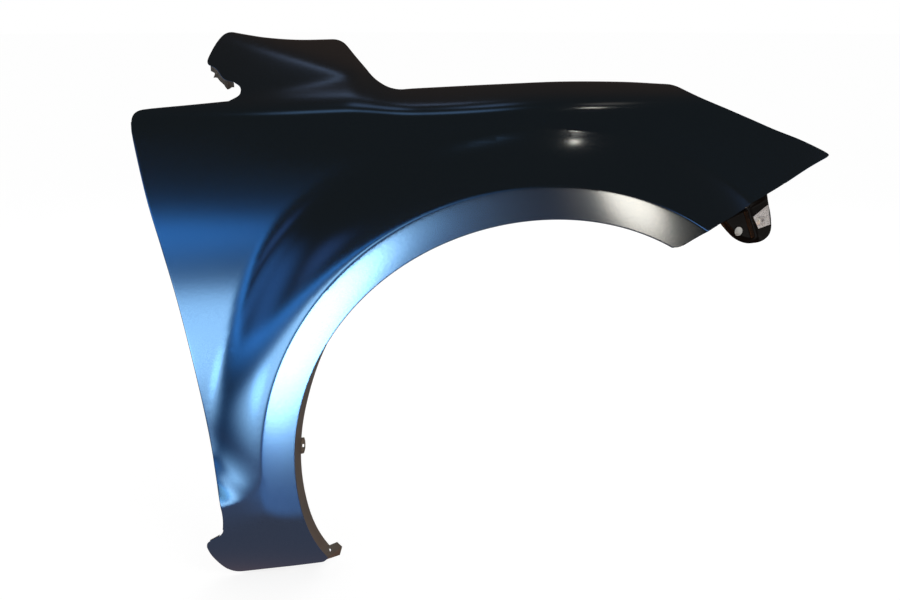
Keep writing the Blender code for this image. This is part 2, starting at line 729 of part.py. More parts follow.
def thicken(item, thickness):
    solid = item.modifiers.new("sheet", 'SOLIDIFY')
    solid.thickness = thickness
    solid.offset = -1
    solid.use_even_offset = True
    solid.use_quality_normals = True


def finish(name, colour, roughness, metallic):
    material = bpy.data.materials.new(name)
    material.use_nodes = True
    shader = material.node_tree.nodes["Principled BSDF"]
    shader.inputs["Base Color"].default_value = colour
    shader.inputs["Roughness"].default_value = roughness
    shader.inputs["Metallic"].default_value = metallic
    return material


def edge_near(name, x):
    """The trimmed edge's place on a run, where it passes this x."""
    edge, ranges = trimmed_edge()
    first, last = ranges[name]
    for start, end in zip(edge[first:last], edge[first + 1:last + 1]):
        if min(start.x, end.x) <= x <= max(start.x, end.x):
            return start.lerp(end, (x - start.x) / (end.x - start.x))
    return min(edge[first:last + 1], key=lambda point: abs(point.x - x))


def reach_x(share):
    return share * (FRONT_REACH if share > 0 else REAR_REACH)


def ledge_point(x, share):
    edge = edge_near("hood", x)
    foot = on_skin(*edge)
    return Vector((x, foot.y + GUTTER_DRAFT + LEDGE_WIDTH * share, HOOD_HEIGHT - LEDGE_DROP))


def build_panel(parent):
    points, lines, loop_size, ranges = panel_points()
    mesh, ring, order = sheet_from(points, lines, loop_size, skin_depth)
    add_flanges(mesh, ring, order, ranges)
    paint = finish("blue_paint", PAINT_COLOUR, 0.32, 0.6)
    panel = finish_object(mesh, "fender_panel", parent, paint, math.radians(30))
    thicken(panel, SHEET)

    tools = bmesh.new()
    for share in LEDGE_SLOT_SHARES:
        place = ledge_point(reach_x(share), LEDGE_SLOT_ROW_SHARE)
        drill(tools, place, UP, BOLT_HOLE, OVERRUN, BOLT_SLOT, Vector((1, 0, 0)))
    for angle in LINER_SCREW_ANGLES:
        place, out = arch_flange_point(angle, LINER_SCREW_ROW_SHARE)
        drill(tools, place, out, SCREW_HOLE, OVERRUN)
    place, out = arch_flange_point(FOOT_SCREW_ANGLE, FOOT_SCREW_ROW_SHARE)
    drill(tools, place, out, SCREW_HOLE, OVERRUN)
    place, out = arch_flange_point(EAR_ANGLE, 1)
    place += out * (EAR_DEPTH * MID_SHARE)
    drill(tools, place, INBOARD, EAR_SLOT_WIDTH, OVERRUN, EAR_SLOT, out.cross(INBOARD))
    for share in SILL_HOLE_SHARES:
        edge = edge_near("sill", reach_x(share))
        depth = skin_depth(*edge) + SILL_FLANGE * SILL_HOLE_ROW_SHARE
        drill(tools, Vector((edge.x, depth, -SILL_DROP)), UP, BOLT_HOLE, OVERRUN)
    edge, ranges = trimmed_edge()
    first, last = ranges["door"]
    lug = min(edge[first:last], key=lambda point: abs(point.y - HOOD_HEIGHT + LUG_DROP))
    place = on_skin(*lug) + INBOARD * (DOOR_FLANGE + LUG_DEPTH * LUG_HOLE_SHARE)
    drill(tools, place, Vector((1, 0, 0)), BOLT_HOLE, OVERRUN)
    cut_with(panel, cutter_from(tools, "panel_punches", parent))
    return panel


def bracket_base():
    """Where the bracket's face meets the bumper edge, a little inboard of the skin."""
    low, high = arch_toe().x, spot(*BUMPER_EDGE_SHARES[-1]).x
    edge = edge_near("bumper", low + (high - low) * BRACKET_SPOT_SHARE)
    return on_skin(*edge) + INBOARD * BRACKET_INSET


def bracket_frame():
    """The bracket's base, and the ways along its flat and out of its painted face."""
    along = Vector((math.cos(BRACKET_YAW), math.sin(BRACKET_YAW), 0))
    out = Vector((math.sin(BRACKET_YAW), -math.cos(BRACKET_YAW), 0))
    return bracket_base(), along, out


def bracket_spot(shares):
    """Place in the bracket's own plane: along it and up it."""
    return Vector((shares[0] * BRACKET_WIDTH, shares[1] * BRACKET_DROP))


def build_bracket(parent):
    base, along, out = bracket_frame()
    low = edge_near("bumper", base.x - BRACKET_WIDTH * MID_SHARE)
    high = edge_near("bumper", base.x + BRACKET_WIDTH * MID_SHARE)
    edge_way = (high - low).normalized()
    rib_top = bracket_spot(RIB_TOP_SHARES)
    rib_foot = bracket_spot(RIB_FOOT_SHARES)

    def depth(x, z):
        flat = base.y + (x - base.x) * math.tan(BRACKET_YAW)
        reach = (x - base.x) / math.cos(BRACKET_YAW)
        place = Vector((reach, z - base.z))
        share = (place - rib_top).dot(rib_foot - rib_top) / (rib_foot - rib_top).length_squared
        share = min(1, max(0, share))
        rib = BRACKET_RIB * bell((place - rib_top.lerp(rib_foot, share)).length, BRACKET_RIB_WIDTH)
        offset = Vector((x, z)) - low
        above = edge_way.x * offset.y - edge_way.y * offset.x
        held = ramp((above + BRACKET_BLEND) / BRACKET_BLEND)
        behind = skin_depth(x, z) + (SHEET + WELD_GAP) * depth_stretch(x, z)
        if held <= 0:
            return flat - rib
        return (flat - rib) * (1 - held) + behind * held

    def side_view(point):
        return Vector((base.x + point.x * math.cos(BRACKET_YAW), base.z + point.y))

    body = smooth_line([side_view(bracket_spot(pair)) for pair in BRACKET_SHARES], BRACKET_STEP)
    top = smooth_line([side_view(bracket_spot(pair)) for pair in BRACKET_TOP_SHARES], BRACKET_STEP)
    edge = body + top
    points = list(edge)
    lines = [(index, (index + 1) % len(edge)) for index in range(len(edge))]
    rows = []
    for level in range(-round(BRACKET_DROP / BRACKET_STEP), round(BRACKET_DROP / BRACKET_STEP)):
        shift = BRACKET_STEP / 2 if level % 2 else 0
        half = round(BRACKET_WIDTH / BRACKET_STEP)
        rows.append([Vector((base.x + number * BRACKET_STEP + shift, base.z + level * BRACKET_STEP))
                     for number in range(-half, half)])
    points += spread(rows, points, BRACKET_STEP * MID_SHARE)
    mesh, _, _ = sheet_from(points, lines, len(edge), depth)
    black = finish("black_enamel", BLACK_COLOUR, 0.25, 0.0)
    bracket = finish_object(mesh, "bumper_bracket", parent, black, math.radians(40))
    thicken(bracket, BRACKET_SHEET)

    tools = bmesh.new()
    for shares, width in ((RIVET_SHARES, RIVET_SHANK + RIVET_CLEARANCE), (NUT_SHARES, NUT_PASSAGE)):
        place = bracket_spot(shares)
        drill(tools, base + along * place.x + UP * place.y, out, width, OVERRUN)
    cut_with(bracket, cutter_from(tools, "bracket_punches", parent))
    return bracket


def build_rivet(parent):
    """A moulded push rivet, turned about its axis: dome, rim, shank and barb."""
    base, along, out = bracket_frame()
    place = bracket_spot(RIVET_SHARES)
    seat = base + along * place.x + UP * place.y + out * SEAT_GAP
    half_head = RIVET_HEAD / 2
    half_shank = RIVET_SHANK / 2
    tail = RIVET_LENGTH - BRACKET_SHEET
    profile = [(0, RIVET_RIM + RIVET_DOME)]
    profile += [(half_head * along_share, RIVET_RIM + RIVET_DOME * up_share)
                for along_share, up_share in RIVET_DOME_SHARES]
    profile += [(half_head, RIVET_RIM * RIVET_EDGE_SHARE), (half_head, 0), (half_shank, 0)]
    profile += [(half_shank, -tail * RIVET_NECK_SHARE), (RIVET_BARB / 2, -tail * RIVET_BARB_SHARE),
                (half_shank * RIVET_TIP_SHARE, -tail), (0, -tail)]
    mesh = bmesh.new()
    verts = [mesh.verts.new((radius, 0, height)) for radius, height in profile]
    edges = [mesh.edges.new(pair) for pair in zip(verts, verts[1:])]
    bmesh.ops.spin(mesh, geom=verts + edges, cent=(0, 0, 0), axis=(0, 0, 1), angle=math.tau,
                   steps=RIVET_STEPS, use_merge=True)
    bmesh.ops.remove_doubles(mesh, verts=mesh.verts, dist=PROBE / 20)
    bmesh.ops.recalc_face_normals(mesh, faces=mesh.faces)
    turn = Vector((0, 0, 1)).rotation_difference(out).to_matrix().to_4x4()
    mesh.transform(Matrix.Translation(seat) @ turn)
    plastic = finish("white_plastic", WHITE_COLOUR, 0.4, 0.0)
    return finish_object(mesh, "push_rivet", parent, plastic, math.radians(35))


def build_clip(parent):
    """A spring-steel clip bent round the bracket's edge, with a square nut on its face."""
    base, along, out = bracket_frame()
    corners = [bracket_spot(pair) for pair in CLIP_SHARES]
    front = SEAT_GAP + CLIP_SHEET
    back = -BRACKET_SHEET - SEAT_GAP - CLIP_SHEET
    middle = (front + back) / 2
    radius = (front - back) / 2

    def place(reach, up, height):
        return base + along * reach + UP * up + out * height

    mesh = bmesh.new()
    strips = []
    for inner, outer in ((corners[2], corners[3]), (corners[1], corners[0])):
        edge = outer.x + SEAT_GAP + CLIP_SHEET
        line = [(inner.x, inner.y, front), (edge, outer.y, front)]
        for number in range(1, CLIP_BENDS):
            angle = math.pi * number / CLIP_BENDS
            line.append((edge + radius * math.sin(angle), outer.y, middle + radius * math.cos(angle)))
        line.append((edge, outer.y, back))
        line.append((edge - CLIP_BACK_LENGTH, outer.y + (inner.y - outer.y) * CLIP_TAPER_SHARE, back))
        strips.append([mesh.verts.new(place(*point)) for point in line])
    for index in range(len(strips[0]) - 1):
        mesh.faces.new((strips[0][index], strips[0][index + 1], strips[1][index + 1], strips[1][index]))
    mesh.normal_update()
    if list(mesh.faces)[0].normal.dot(out) < 0:
        bmesh.ops.reverse_faces(mesh, faces=mesh.faces)
    zinc = finish("zinc_plate", ZINC_COLOUR, 0.35, 1.0)
    clip = finish_object(mesh, "clip_nut", parent, zinc, math.radians(35))
    thicken(clip, CLIP_SHEET)

    centre = bracket_spot(NUT_SHARES)
    body = bmesh.new()
    bmesh.ops.create_cube(body, size=1)
    bmesh.ops.scale(body, vec=(NUT_WIDTH, NUT_DEPTH, NUT_WIDTH), verts=body.verts)
    bmesh.ops.bevel(body, geom=body.edges, offset=NUT_BEVEL, segments=1, affect='EDGES')
    turn = Matrix((along, -out, UP)).transposed().to_4x4()
    middle = base + along * centre.x + UP * centre.y + out * (front - CLIP_SHEET / 2 + NUT_DEPTH / 2)
    body.transform(Matrix.Translation(middle) @ turn)
    nut = cutter_from(body, "nut_body", parent)
    union = clip.modifiers.new("nut", 'BOOLEAN')
    union.operation = 'UNION'
    union.solver = 'EXACT'
    union.object = nut
    tools = bmesh.new()
    drill(tools, base + along * centre.x + UP * centre.y, out, NUT_BORE, 2 * OVERRUN)
    cut_with(clip, cutter_from(tools, "nut_bore", parent))
    return clip


def build_fender():
    clear_scene()
    carrier = bpy.data.objects.new("wheel_centre", None)
    bpy.context.scene.collection.objects.link(carrier)
    carrier.location = UP * SHEET - ledge_point(reach_x(ORIGIN_SHARE), LEDGE_SEAT_SHARE)
    build_panel(carrier)
    build_bracket(carrier)
    build_rivet(carrier)
    build_clip(carrier)


build_fender()
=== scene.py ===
import math

import bmesh
import bpy
from mathutils import Matrix, Quaternion, Vector
from mathutils.geometry import delaunay_2d_cdt
from mathutils.kdtree import KDTree


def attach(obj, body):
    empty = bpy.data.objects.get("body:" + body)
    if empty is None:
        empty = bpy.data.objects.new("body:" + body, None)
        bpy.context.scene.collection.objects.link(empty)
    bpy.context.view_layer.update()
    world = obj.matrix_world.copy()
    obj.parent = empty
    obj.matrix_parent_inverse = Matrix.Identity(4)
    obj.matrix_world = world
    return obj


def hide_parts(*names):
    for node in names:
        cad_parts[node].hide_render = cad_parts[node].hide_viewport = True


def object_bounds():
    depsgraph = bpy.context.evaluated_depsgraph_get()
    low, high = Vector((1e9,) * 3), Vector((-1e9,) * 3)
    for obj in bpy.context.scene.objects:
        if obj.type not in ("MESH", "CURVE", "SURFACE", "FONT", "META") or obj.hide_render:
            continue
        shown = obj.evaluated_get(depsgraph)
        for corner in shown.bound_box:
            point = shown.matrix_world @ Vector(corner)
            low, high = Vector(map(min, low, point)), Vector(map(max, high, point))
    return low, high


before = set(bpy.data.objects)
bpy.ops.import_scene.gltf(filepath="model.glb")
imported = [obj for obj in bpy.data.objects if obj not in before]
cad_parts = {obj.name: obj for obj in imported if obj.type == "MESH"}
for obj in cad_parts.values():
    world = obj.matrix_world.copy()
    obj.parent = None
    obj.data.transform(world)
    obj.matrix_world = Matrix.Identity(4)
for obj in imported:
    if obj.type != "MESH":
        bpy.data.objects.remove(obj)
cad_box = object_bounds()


# The fender panel is one sheet of 0.8 mm deep-drawing steel. A die presses its crowned side, the
# flare round the wheel and the rolled lip, then its edges are trimmed, folded and pierced.
# Its skin follows the die's form, worked out from sizes round the wheel centre on a fine mesh.
WHEEL_CENTRE = Vector((-0.0436, -0.150091, -0.4892))
SHEET = 0.0008
FOLD = 0.0020
FOLD_STEPS = 4
ARCH_RADIUS = 0.3460
ARCH_REAR_ANGLE = math.radians(207.5)
ARCH_FRONT_ANGLE = math.radians(59.5)
ARCH_SAG = 0.0042
ARCH_SAG_ANGLE = math.radians(112)
ARCH_SAG_SPREAD = math.radians(30)
BAND_WIDTH = 0.0440
BAND_SLOPE = 0.32
LIP_EASE = 0.0014
LIP_FADE_TOP = -0.0500
LIP_FADE_LENGTH = 0.0900
LIP_FADE_EASE = 0.0600
FLARE_WIDTH = 0.0700
FLARE_SWELL = 0.0200
FLARE_SWELL_ANGLE = math.radians(133)
FLARE_SWELL_SPREAD = math.radians(18)
FLARE_REAR_POWER = 1.6
FLARE_TOP_POWER = 1.2
FLARE_SILL_POWER = 1.35
FLARE_SILL_BLEND = 0.0350
FLARE_TOP_SOFTNESS = 0.05
FLARE_REAR_SOFTNESS = 0.20
SOFTNESS_RATE = 2
CREST_DEPTH = 0.0020
SIDE_SETBACK = 0.0240
CROWN_RADIUS = 2.6000
CROWN_HEIGHT = 0.1500
BOW_RADIUS = 0.7600
BOW_START = -0.0400
BOW_EASE = 0.0600
SHOULDER_HEIGHT = 0.4810
SHOULDER_RISE = 0.0140
SHOULDER_RISE_START = -0.2100
SHOULDER_RISE_LENGTH = 0.2600
SHOULDER_SLOPE = 2.8
TAB_SLOPE = 2.0
TAB_SLOPE_START = -0.1700
TAB_SLOPE_LENGTH = 0.1000
SHOULDER_EASE = 0.0140
RIDGE_DEPTH = 0.0090
RIDGE_X = -0.2301
RIDGE_Z = 0.4620
RIDGE_LENGTH = 0.1100
RIDGE_HEIGHT = 0.0260
APEX_X = -0.2406
APEX_Z = 0.5235
LOW_CREASE_RUN = 0.135
LOW_CREASE_TURN = 0.5
LOW_CREASE_EASE = 0.0040
LOW_CREASE_LIFT = 0.0040
HIGH_CREASE_RUN = -0.300
HIGH_CREASE_TURN = 1.2
HIGH_CREASE_EASE = 0.0090
LOW_CREASE_FRONT_RUN = 1.0
HIGH_CREASE_FRONT_RUN = 1.6
SILL_CREASE_X = -0.4480
SILL_CREASE_Z = -0.0570
SILL_CREASE_RUN = 0.30
SILL_CREASE_BLEND = 0.0450
TUCK_HEIGHT = -0.0500
TUCK_EASE = 0.0400
TUCK_RADIUS = 0.1700
REAR_REACH = 0.5440
FRONT_REACH = 0.4360
HOOD_HEIGHT = 0.5180
TAB_RISE = 0.0620
SILL_DROP = 0.17896
HEEL_RUN = 0.0040
HEEL_DROP = 0.0075
TOE_RUN = 0.0092
TOE_DROP = 0.0013
PROBE = 0.0002
QUARTER = math.pi / 2

# Trimmed edge, run by run: along in shares of the reach to the rear or the front, up in shares
# of the hood height, and past 1 of the corner tab's rise, below 0 of the sill's drop
BUMPER_EDGE_SHARES = ((0.5196, 0.6193), (0.646, 0.6565), (0.781, 0.7015), (0.914, 0.751), (1.011, 0.780))
LAMP_EDGE_SHARES = ((1.011, 0.780), (0.972, 0.797), (0.875, 0.832), (0.772, 0.864), (0.687, 0.893),
                    (0.602, 0.922), (0.503, 0.956), (0.429, 0.987))
HOOD_EDGE_SHARES = ((0.429, 0.987), (0.385, 0.989), (0.256, 0.995), (0.062, 0.997), (-0.103, 0.991),
                    (-0.255, 0.983), (-0.331, 0.979), (-0.373, 0.976))
TAB_FRONT_SHARES = ((-0.373, 0.976), (-0.4166, 1.012), (-0.4484, 1.274), (-0.479, 1.547), (-0.511, 1.845))
TAB_TOP_SHARES = ((-0.511, 1.845), (-0.620, 1.838), (-0.699, 1.885), (-0.752, 1.950), (-0.811, 2.040))
TAB_REAR_SHARES = ((-0.811, 2.040), (-0.830, 1.777), (-0.841, 1.517), (-0.8455, 1.355))
HOOK_EDGE_SHARES = ((-0.8455, 1.355), (-0.8185, 1.260), (-0.795, 1.060), (-0.769, 0.999))
NOTCH_SHARES = ((-0.769, 0.999), (-0.755, 0.991), (-0.749, 0.982), (-0.751, 0.968), (-0.7735, 0.955))
TOP_EDGE_SHARES = ((-0.7735, 0.955), (-0.8645, 0.947), (-0.959, 0.939), (-1.000, 0.933))
DOOR_EDGE_SHARES = ((-1.000, 0.933), (-0.9975, 0.8985), (-0.9935, 0.8655), (-0.967, 0.717), (-0.937, 0.589),
                    (-0.908, 0.459), (-0.8835, 0.3245), (-0.862, 0.1855), (-0.8435, 0.0445),
                    (-0.8265, -0.2445), (-0.8205, -0.363), (-0.820, -0.447), (-0.8235, -0.542))
SILL_NOTCH_SHARES = ((-0.8235, -0.542), (-0.845, -0.585), (-0.8695, -0.629))
SILL_END_SHARES = ((-0.8695, -0.629), (-0.867, -0.682), (-0.858, -0.773), (-0.8355, -0.905),
                   (-0.811, -0.990))
SILL_EDGE_SHARES = ((-0.811, -0.990), (-0.7164, -0.955), (-0.6373, -0.940))
# Each run with the length that its first corner is cut back by, for the corner's rounding
TRIM_RUNS = (("bumper", BUMPER_EDGE_SHARES, 0.0070), ("lamp", LAMP_EDGE_SHARES, 0.0070),
             ("hood", HOOD_EDGE_SHARES, 0.0100), ("tab_front", TAB_FRONT_SHARES, 0.0160),
             ("tab_top", TAB_TOP_SHARES, 0.0140), ("tab_rear", TAB_REAR_SHARES, 0.0110),
             ("hook", HOOK_EDGE_SHARES, 0.0070), ("notch", NOTCH_SHARES, 0),
             ("top", TOP_EDGE_SHARES, 0), ("door", DOOR_EDGE_SHARES, 0.0130),
             ("sill_notch", SILL_NOTCH_SHARES, 0.0070), ("sill_end", SILL_END_SHARES, 0.0070),
             ("sill", SILL_EDGE_SHARES, 0.0120))
ARCH_FOOT_CORNER = 0.0050
CORNER_STEPS = 8

EDGE_STEP = 0.0050
FINE_STEP = 0.0020
FACE_STEP = 0.0058
ROW_STEP = 0.0016
BESIDE_ROWS = (-2, -1, 1, 2)
FLARE_LEAD = 0.35
SETTLE_ROUNDS = 6

AHEAD = Vector((1, 0, 0))
INBOARD = Vector((0, 1, 0))
UP = Vector((0, 0, 1))


def soft_rise(distance, ease):
    """Zero below the start and a straight rise above it, rounded over the ease."""
    return (distance + math.sqrt(distance * distance + ease * ease)) / 2


def soft_min(first, second, reach):
    overlap = max(reach - abs(first - second), 0) / reach
    return min(first, second) - overlap * overlap * reach / 4


def ramp(value):
    value = min(1, max(0, value))
    return value * value * (3 - 2 * value)


def blend(first, second, share):
    return first + (second - first) * share


def bell(distance, spread):
    return math.exp(-(distance / spread) ** 2)


def turn_of(x, z):
    """Angle round the wheel, from straight ahead and over the top."""
    return math.atan2(z, x) % math.tau


def plan_bow(x):
    return soft_rise(x - BOW_START, BOW_EASE) ** 2 / (2 * BOW_RADIUS)


def body_side(x, z):
    """Depth of the side outside the flare, with the shoulder, the corner tab and its creases."""
    depth = SIDE_SETBACK + plan_bow(x) + (z - CROWN_HEIGHT) ** 2 / (2 * CROWN_RADIUS)
    depth += RIDGE_DEPTH * bell(x - RIDGE_X, RIDGE_LENGTH) * bell(z - RIDGE_Z, RIDGE_HEIGHT)
    shoulder = SHOULDER_HEIGHT + SHOULDER_RISE * ramp((x - SHOULDER_RISE_START) / SHOULDER_RISE_LENGTH)
    slope = blend(SHOULDER_SLOPE, TAB_SLOPE, ramp((TAB_SLOPE_START - x) / TAB_SLOPE_LENGTH))
    depth += slope * soft_rise(z - shoulder, SHOULDER_EASE)
    behind = x < APEX_X
    low_crease = APEX_Z + (LOW_CREASE_RUN if behind else LOW_CREASE_FRONT_RUN) * (x - APEX_X)
    if behind:
        low_crease = max(low_crease, shoulder + LOW_CREASE_LIFT)
    high_crease = APEX_Z + (HIGH_CREASE_RUN if behind else HIGH_CREASE_FRONT_RUN) * (x - APEX_X)
    depth -= LOW_CREASE_TURN * soft_rise(z - low_crease, LOW_CREASE_EASE)
    return depth + HIGH_CREASE_TURN * soft_rise(z - high_crease, HIGH_CREASE_EASE)


def crest(x, z):
    tuck = soft_rise(TUCK_HEIGHT - z, TUCK_EASE) ** 2 / (2 * TUCK_RADIUS)
    return CREST_DEPTH + plan_bow(x) + tuck


def above_sill(x, z):
    return z - SILL_CREASE_Z - SILL_CREASE_RUN * (x - SILL_CREASE_X)


def flare_distance(x, z):
    """Distance outside the crease that runs round the band and back along the sill end."""
    return soft_min(math.hypot(x, z) - ARCH_RADIUS - BAND_WIDTH, above_sill(x, z), SILL_CREASE_BLEND)


def flare_width(x, z):
    return FLARE_WIDTH + FLARE_SWELL * bell(turn_of(x, z) - FLARE_SWELL_ANGLE, FLARE_SWELL_SPREAD)


def skin_depth(x, z):
    """Depth of the painted face, with the creases rounded as a press leaves them."""
    outside = flare_distance(x, z)
    top = crest(x, z)
    ease = LIP_EASE + LIP_FADE_EASE * ramp((LIP_FADE_TOP - z) / LIP_FADE_LENGTH)
    inside = ARCH_RADIUS + BAND_WIDTH - math.hypot(x, z)
    depth = top + BAND_SLOPE * (soft_rise(inside, ease) - ease / 2 * bell(inside, ARCH_RADIUS))
    share = max(0, outside) / flare_width(x, z)
    past_top = turn_of(x, z) - QUARTER
    softness = blend(FLARE_TOP_SOFTNESS, FLARE_REAR_SOFTNESS, ramp(past_top * SOFTNESS_RATE))
    share = min(1, max(0, soft_min(share, 1, softness)))
    power = blend(FLARE_TOP_POWER, FLARE_REAR_POWER, ramp(past_top))
    power = blend(power, FLARE_SILL_POWER, ramp((-inside - above_sill(x, z)) / FLARE_SILL_BLEND))
    return depth + (body_side(x, z) - top) * share ** power


def on_skin(x, z):
    return Vector((x, skin_depth(x, z), z))


def reach_x(share):
    return share * (FRONT_REACH if share > 0 else REAR_REACH)


def spot(x_share, z_share):
    """Place in the side view that a pair of shares stands for."""
    x = reach_x(x_share)
    if z_share < 0:
        return Vector((x, z_share * SILL_DROP))
    if z_share <= 1:
        return Vector((x, z_share * HOOD_HEIGHT))
    return Vector((x, HOOD_HEIGHT + (z_share - 1) * TAB_RISE))


def smooth_line(points, step):
    """Points about a step apart on a smooth curve through the given ones."""
    line = [points[0]]
    for index in range(len(points) - 1):
        start, end = points[index], points[index + 1]
        before = points[index - 1] if index else 2 * start - end
        after = points[index + 2] if index + 2 < len(points) else 2 * end - start
        count = max(1, round((end - start).length / step))
        for number in range(1, count + 1):
            t = number / count
            line.append(0.5 * (2 * start + (end - before) * t
                               + (2 * before - 5 * start + 4 * end - after) * t * t
                               + (3 * start - before - 3 * end + after) * t * t * t))
    return line


def cut_back(line, length):
    """The line without its last stretch of this length."""
    line = list(line)
    while len(line) > 2 and (line[-1] - line[-2]).length <= length:
        length -= (line[-1] - line[-2]).length
        line.pop()
    last = (line[-1] - line[-2]).length
    line[-1] = line[-1].lerp(line[-2], length / last if length < last else 0.5)
    return line


def arch_spot(angle, radius):
    return Vector((math.cos(angle), math.sin(angle))) * radius


def arch_heel():
    """The corner where the arch's edge meets the sill."""
    return arch_spot(ARCH_REAR_ANGLE, ARCH_RADIUS) - Vector((HEEL_RUN, HEEL_DROP))


def arch_toe():
    """The corner where the arch's edge meets the bumper edge."""
    return arch_spot(ARCH_FRONT_ANGLE, ARCH_RADIUS) + Vector((TOE_RUN, -TOE_DROP))


def arch_line():
    count = round((ARCH_REAR_ANGLE - ARCH_FRONT_ANGLE) * ARCH_RADIUS / EDGE_STEP)
    turn = (ARCH_FRONT_ANGLE - ARCH_REAR_ANGLE) / count
    angles = [ARCH_REAR_ANGLE + number * turn for number in range(count + 1)]
    edge = [arch_spot(angle, ARCH_RADIUS - ARCH_SAG * bell(angle - ARCH_SAG_ANGLE, ARCH_SAG_SPREAD))
            for angle in angles]
    return [arch_heel()] + edge + [arch_toe()]


def trimmed_edge():
    """All points round the panel, and the first and last of each named run."""
    lines = [["arch", arch_line(), ARCH_FOOT_CORNER]]
    for name, run, corner in TRIM_RUNS:
        step = FINE_STEP if name in ("hook", "notch", "sill_notch") else EDGE_STEP
        corners = [spot(*pair) for pair in run]
        if name == "bumper":
            corners.insert(0, arch_toe())
        if name == "sill":
            corners.append(arch_heel())
        lines.append([name, smooth_line(corners, step), corner])
    edge = []
    ranges = {}
    for index, (name, line, corner) in enumerate(lines):
        next_corner = lines[(index + 1) % len(lines)][2]
        kept = cut_back(line, next_corner) if next_corner else list(line)
        if corner:
            kept = cut_back(kept[::-1], corner)[::-1]
            before = cut_back(lines[index - 1][1], corner)[-1]
            for number in range(1, CORNER_STEPS):
                t = number / CORNER_STEPS
                edge.append(before.lerp(line[0], t).lerp(line[0].lerp(kept[0], t), t))
            first = len(edge)
        else:
            kept = kept[1:]
            first = len(edge) - 1
        edge.extend(kept)
        ranges[name] = (first, len(edge) - 1)
    return edge, ranges


def settle(point, share, distance):
    """Move a point onto the line this share of the flare's width, and this far, from the crease."""
    def miss(x, z):
        return flare_distance(x, z) - share * flare_width(x, z) - distance

    for _ in range(SETTLE_ROUNDS):
        x, z = point
        value = miss(x, z)
        slope = Vector((miss(x + PROBE, z) - miss(x - PROBE, z), miss(x, z + PROBE) - miss(x, z - PROBE)))
        slope /= 2 * PROBE
        point = point - slope * (value / slope.length_squared)
    return point


def flare_row(share, distance):
    """A row of points round the flare, from past the bumper edge to past the door edge."""
    radius = ARCH_RADIUS + BAND_WIDTH + share * FLARE_WIDTH + distance
    turn = math.pi - ARCH_FRONT_ANGLE + FLARE_LEAD
    count = round(turn * radius / EDGE_STEP)
    row = [arch_spot(ARCH_FRONT_ANGLE - FLARE_LEAD + turn * number / count, radius)
           for number in range(count + 1)]
    heel = row[-1]
    end = Vector((SILL_CREASE_X - FLARE_WIDTH, SILL_CREASE_Z + share * FLARE_WIDTH + distance))
    count = round((end - heel).length / EDGE_STEP)
    row += [heel.lerp(end, number / count) for number in range(1, count + 1)]
    return [settle(point, share, distance) for point in row]


def tree_of(points):
    tree = KDTree(len(points))
    for index, point in enumerate(points):
        tree.insert((point.x, point.y, 0), index)
    tree.balance()
    return tree


def spread(rows, taken, distance):
    """The points of the rows that keep this distance from those already taken."""
    tree = tree_of(taken)
    return [point for row in rows for point in row if tree.find((point.x, point.y, 0))[2] > distance]


def face_rows(low, high, step):
    """Rows of evenly staggered points over a rectangle of the side view."""
    height = step * math.sqrt(3) / 2
    rows = []
    for level in range(round((high.y - low.y) / height)):
        shift = step / 2 if level % 2 else 0
        count = round((high.x - low.x) / step)
        rows.append([Vector((low.x + number * step + shift, low.y + level * height))
                     for number in range(count)])
    return rows


def panel_points(edge):
    """Edge, crease and face points of the panel, and the lines inside it that stay lines."""
    points = list(edge)
    lines = []
    rim_row = []
    for index, point in enumerate(edge):
        along = (edge[(index + 1) % len(edge)] - edge[index - 1]).normalized()
        rim_row.append(point - Vector((along.y, -along.x)) * ROW_STEP)
    for row in (rim_row + rim_row[:1], flare_row(0, 0), flare_row(1, 0)):
        first = len(points)
        points += row
        lines += [(first + index, first + index + 1) for index in range(len(row) - 1)]
    beside = [flare_row(share, number * ROW_STEP) for share in (0, 1) for number in BESIDE_ROWS]
    points += spread(beside, points[:len(edge)], FINE_STEP)
    low, high = Vector((-REAR_REACH, -SILL_DROP)), Vector((FRONT_REACH, HOOD_HEIGHT + TAB_RISE))
    rows = face_rows(low, high, FACE_STEP)
    rows = [[point for point in row if point.length > ARCH_RADIUS] for row in rows]
    points += spread(rows, points, FACE_STEP / 2)
    return points, lines


def sheet_from(points, edges, loop_size, depth):
    """Triangles inside the first loop, lifted to their depth; also the boundary in order."""
    loop = [(index, (index + 1) % loop_size) for index in range(loop_size)]
    places, lines, faces, _, from_edges, from_faces = delaunay_2d_cdt(
        points, loop + edges, [list(range(loop_size))], 1, PROBE / 4)
    mesh = bmesh.new()
    verts = {}
    for face, origin in zip(faces, from_faces):
        if not origin:
            continue
        for index in face:
            if index not in verts:
                x, z = places[index]
                verts[index] = mesh.verts.new((x, depth(x, z), z))
        mesh.faces.new([verts[index] for index in face])
    order = {}
    for line, origin in zip(lines, from_edges):
        sides = [index for index in origin if index < loop_size]
        if not sides:
            continue
        start = points[sides[0]]
        length = (points[(sides[0] + 1) % loop_size] - start).length
        for index in line:
            if index in verts:
                place = sides[0] + (places[index] - start).length / length
                order[verts[index]] = min(order.get(verts[index], place), place)
    return mesh, sorted(order, key=order.get), order


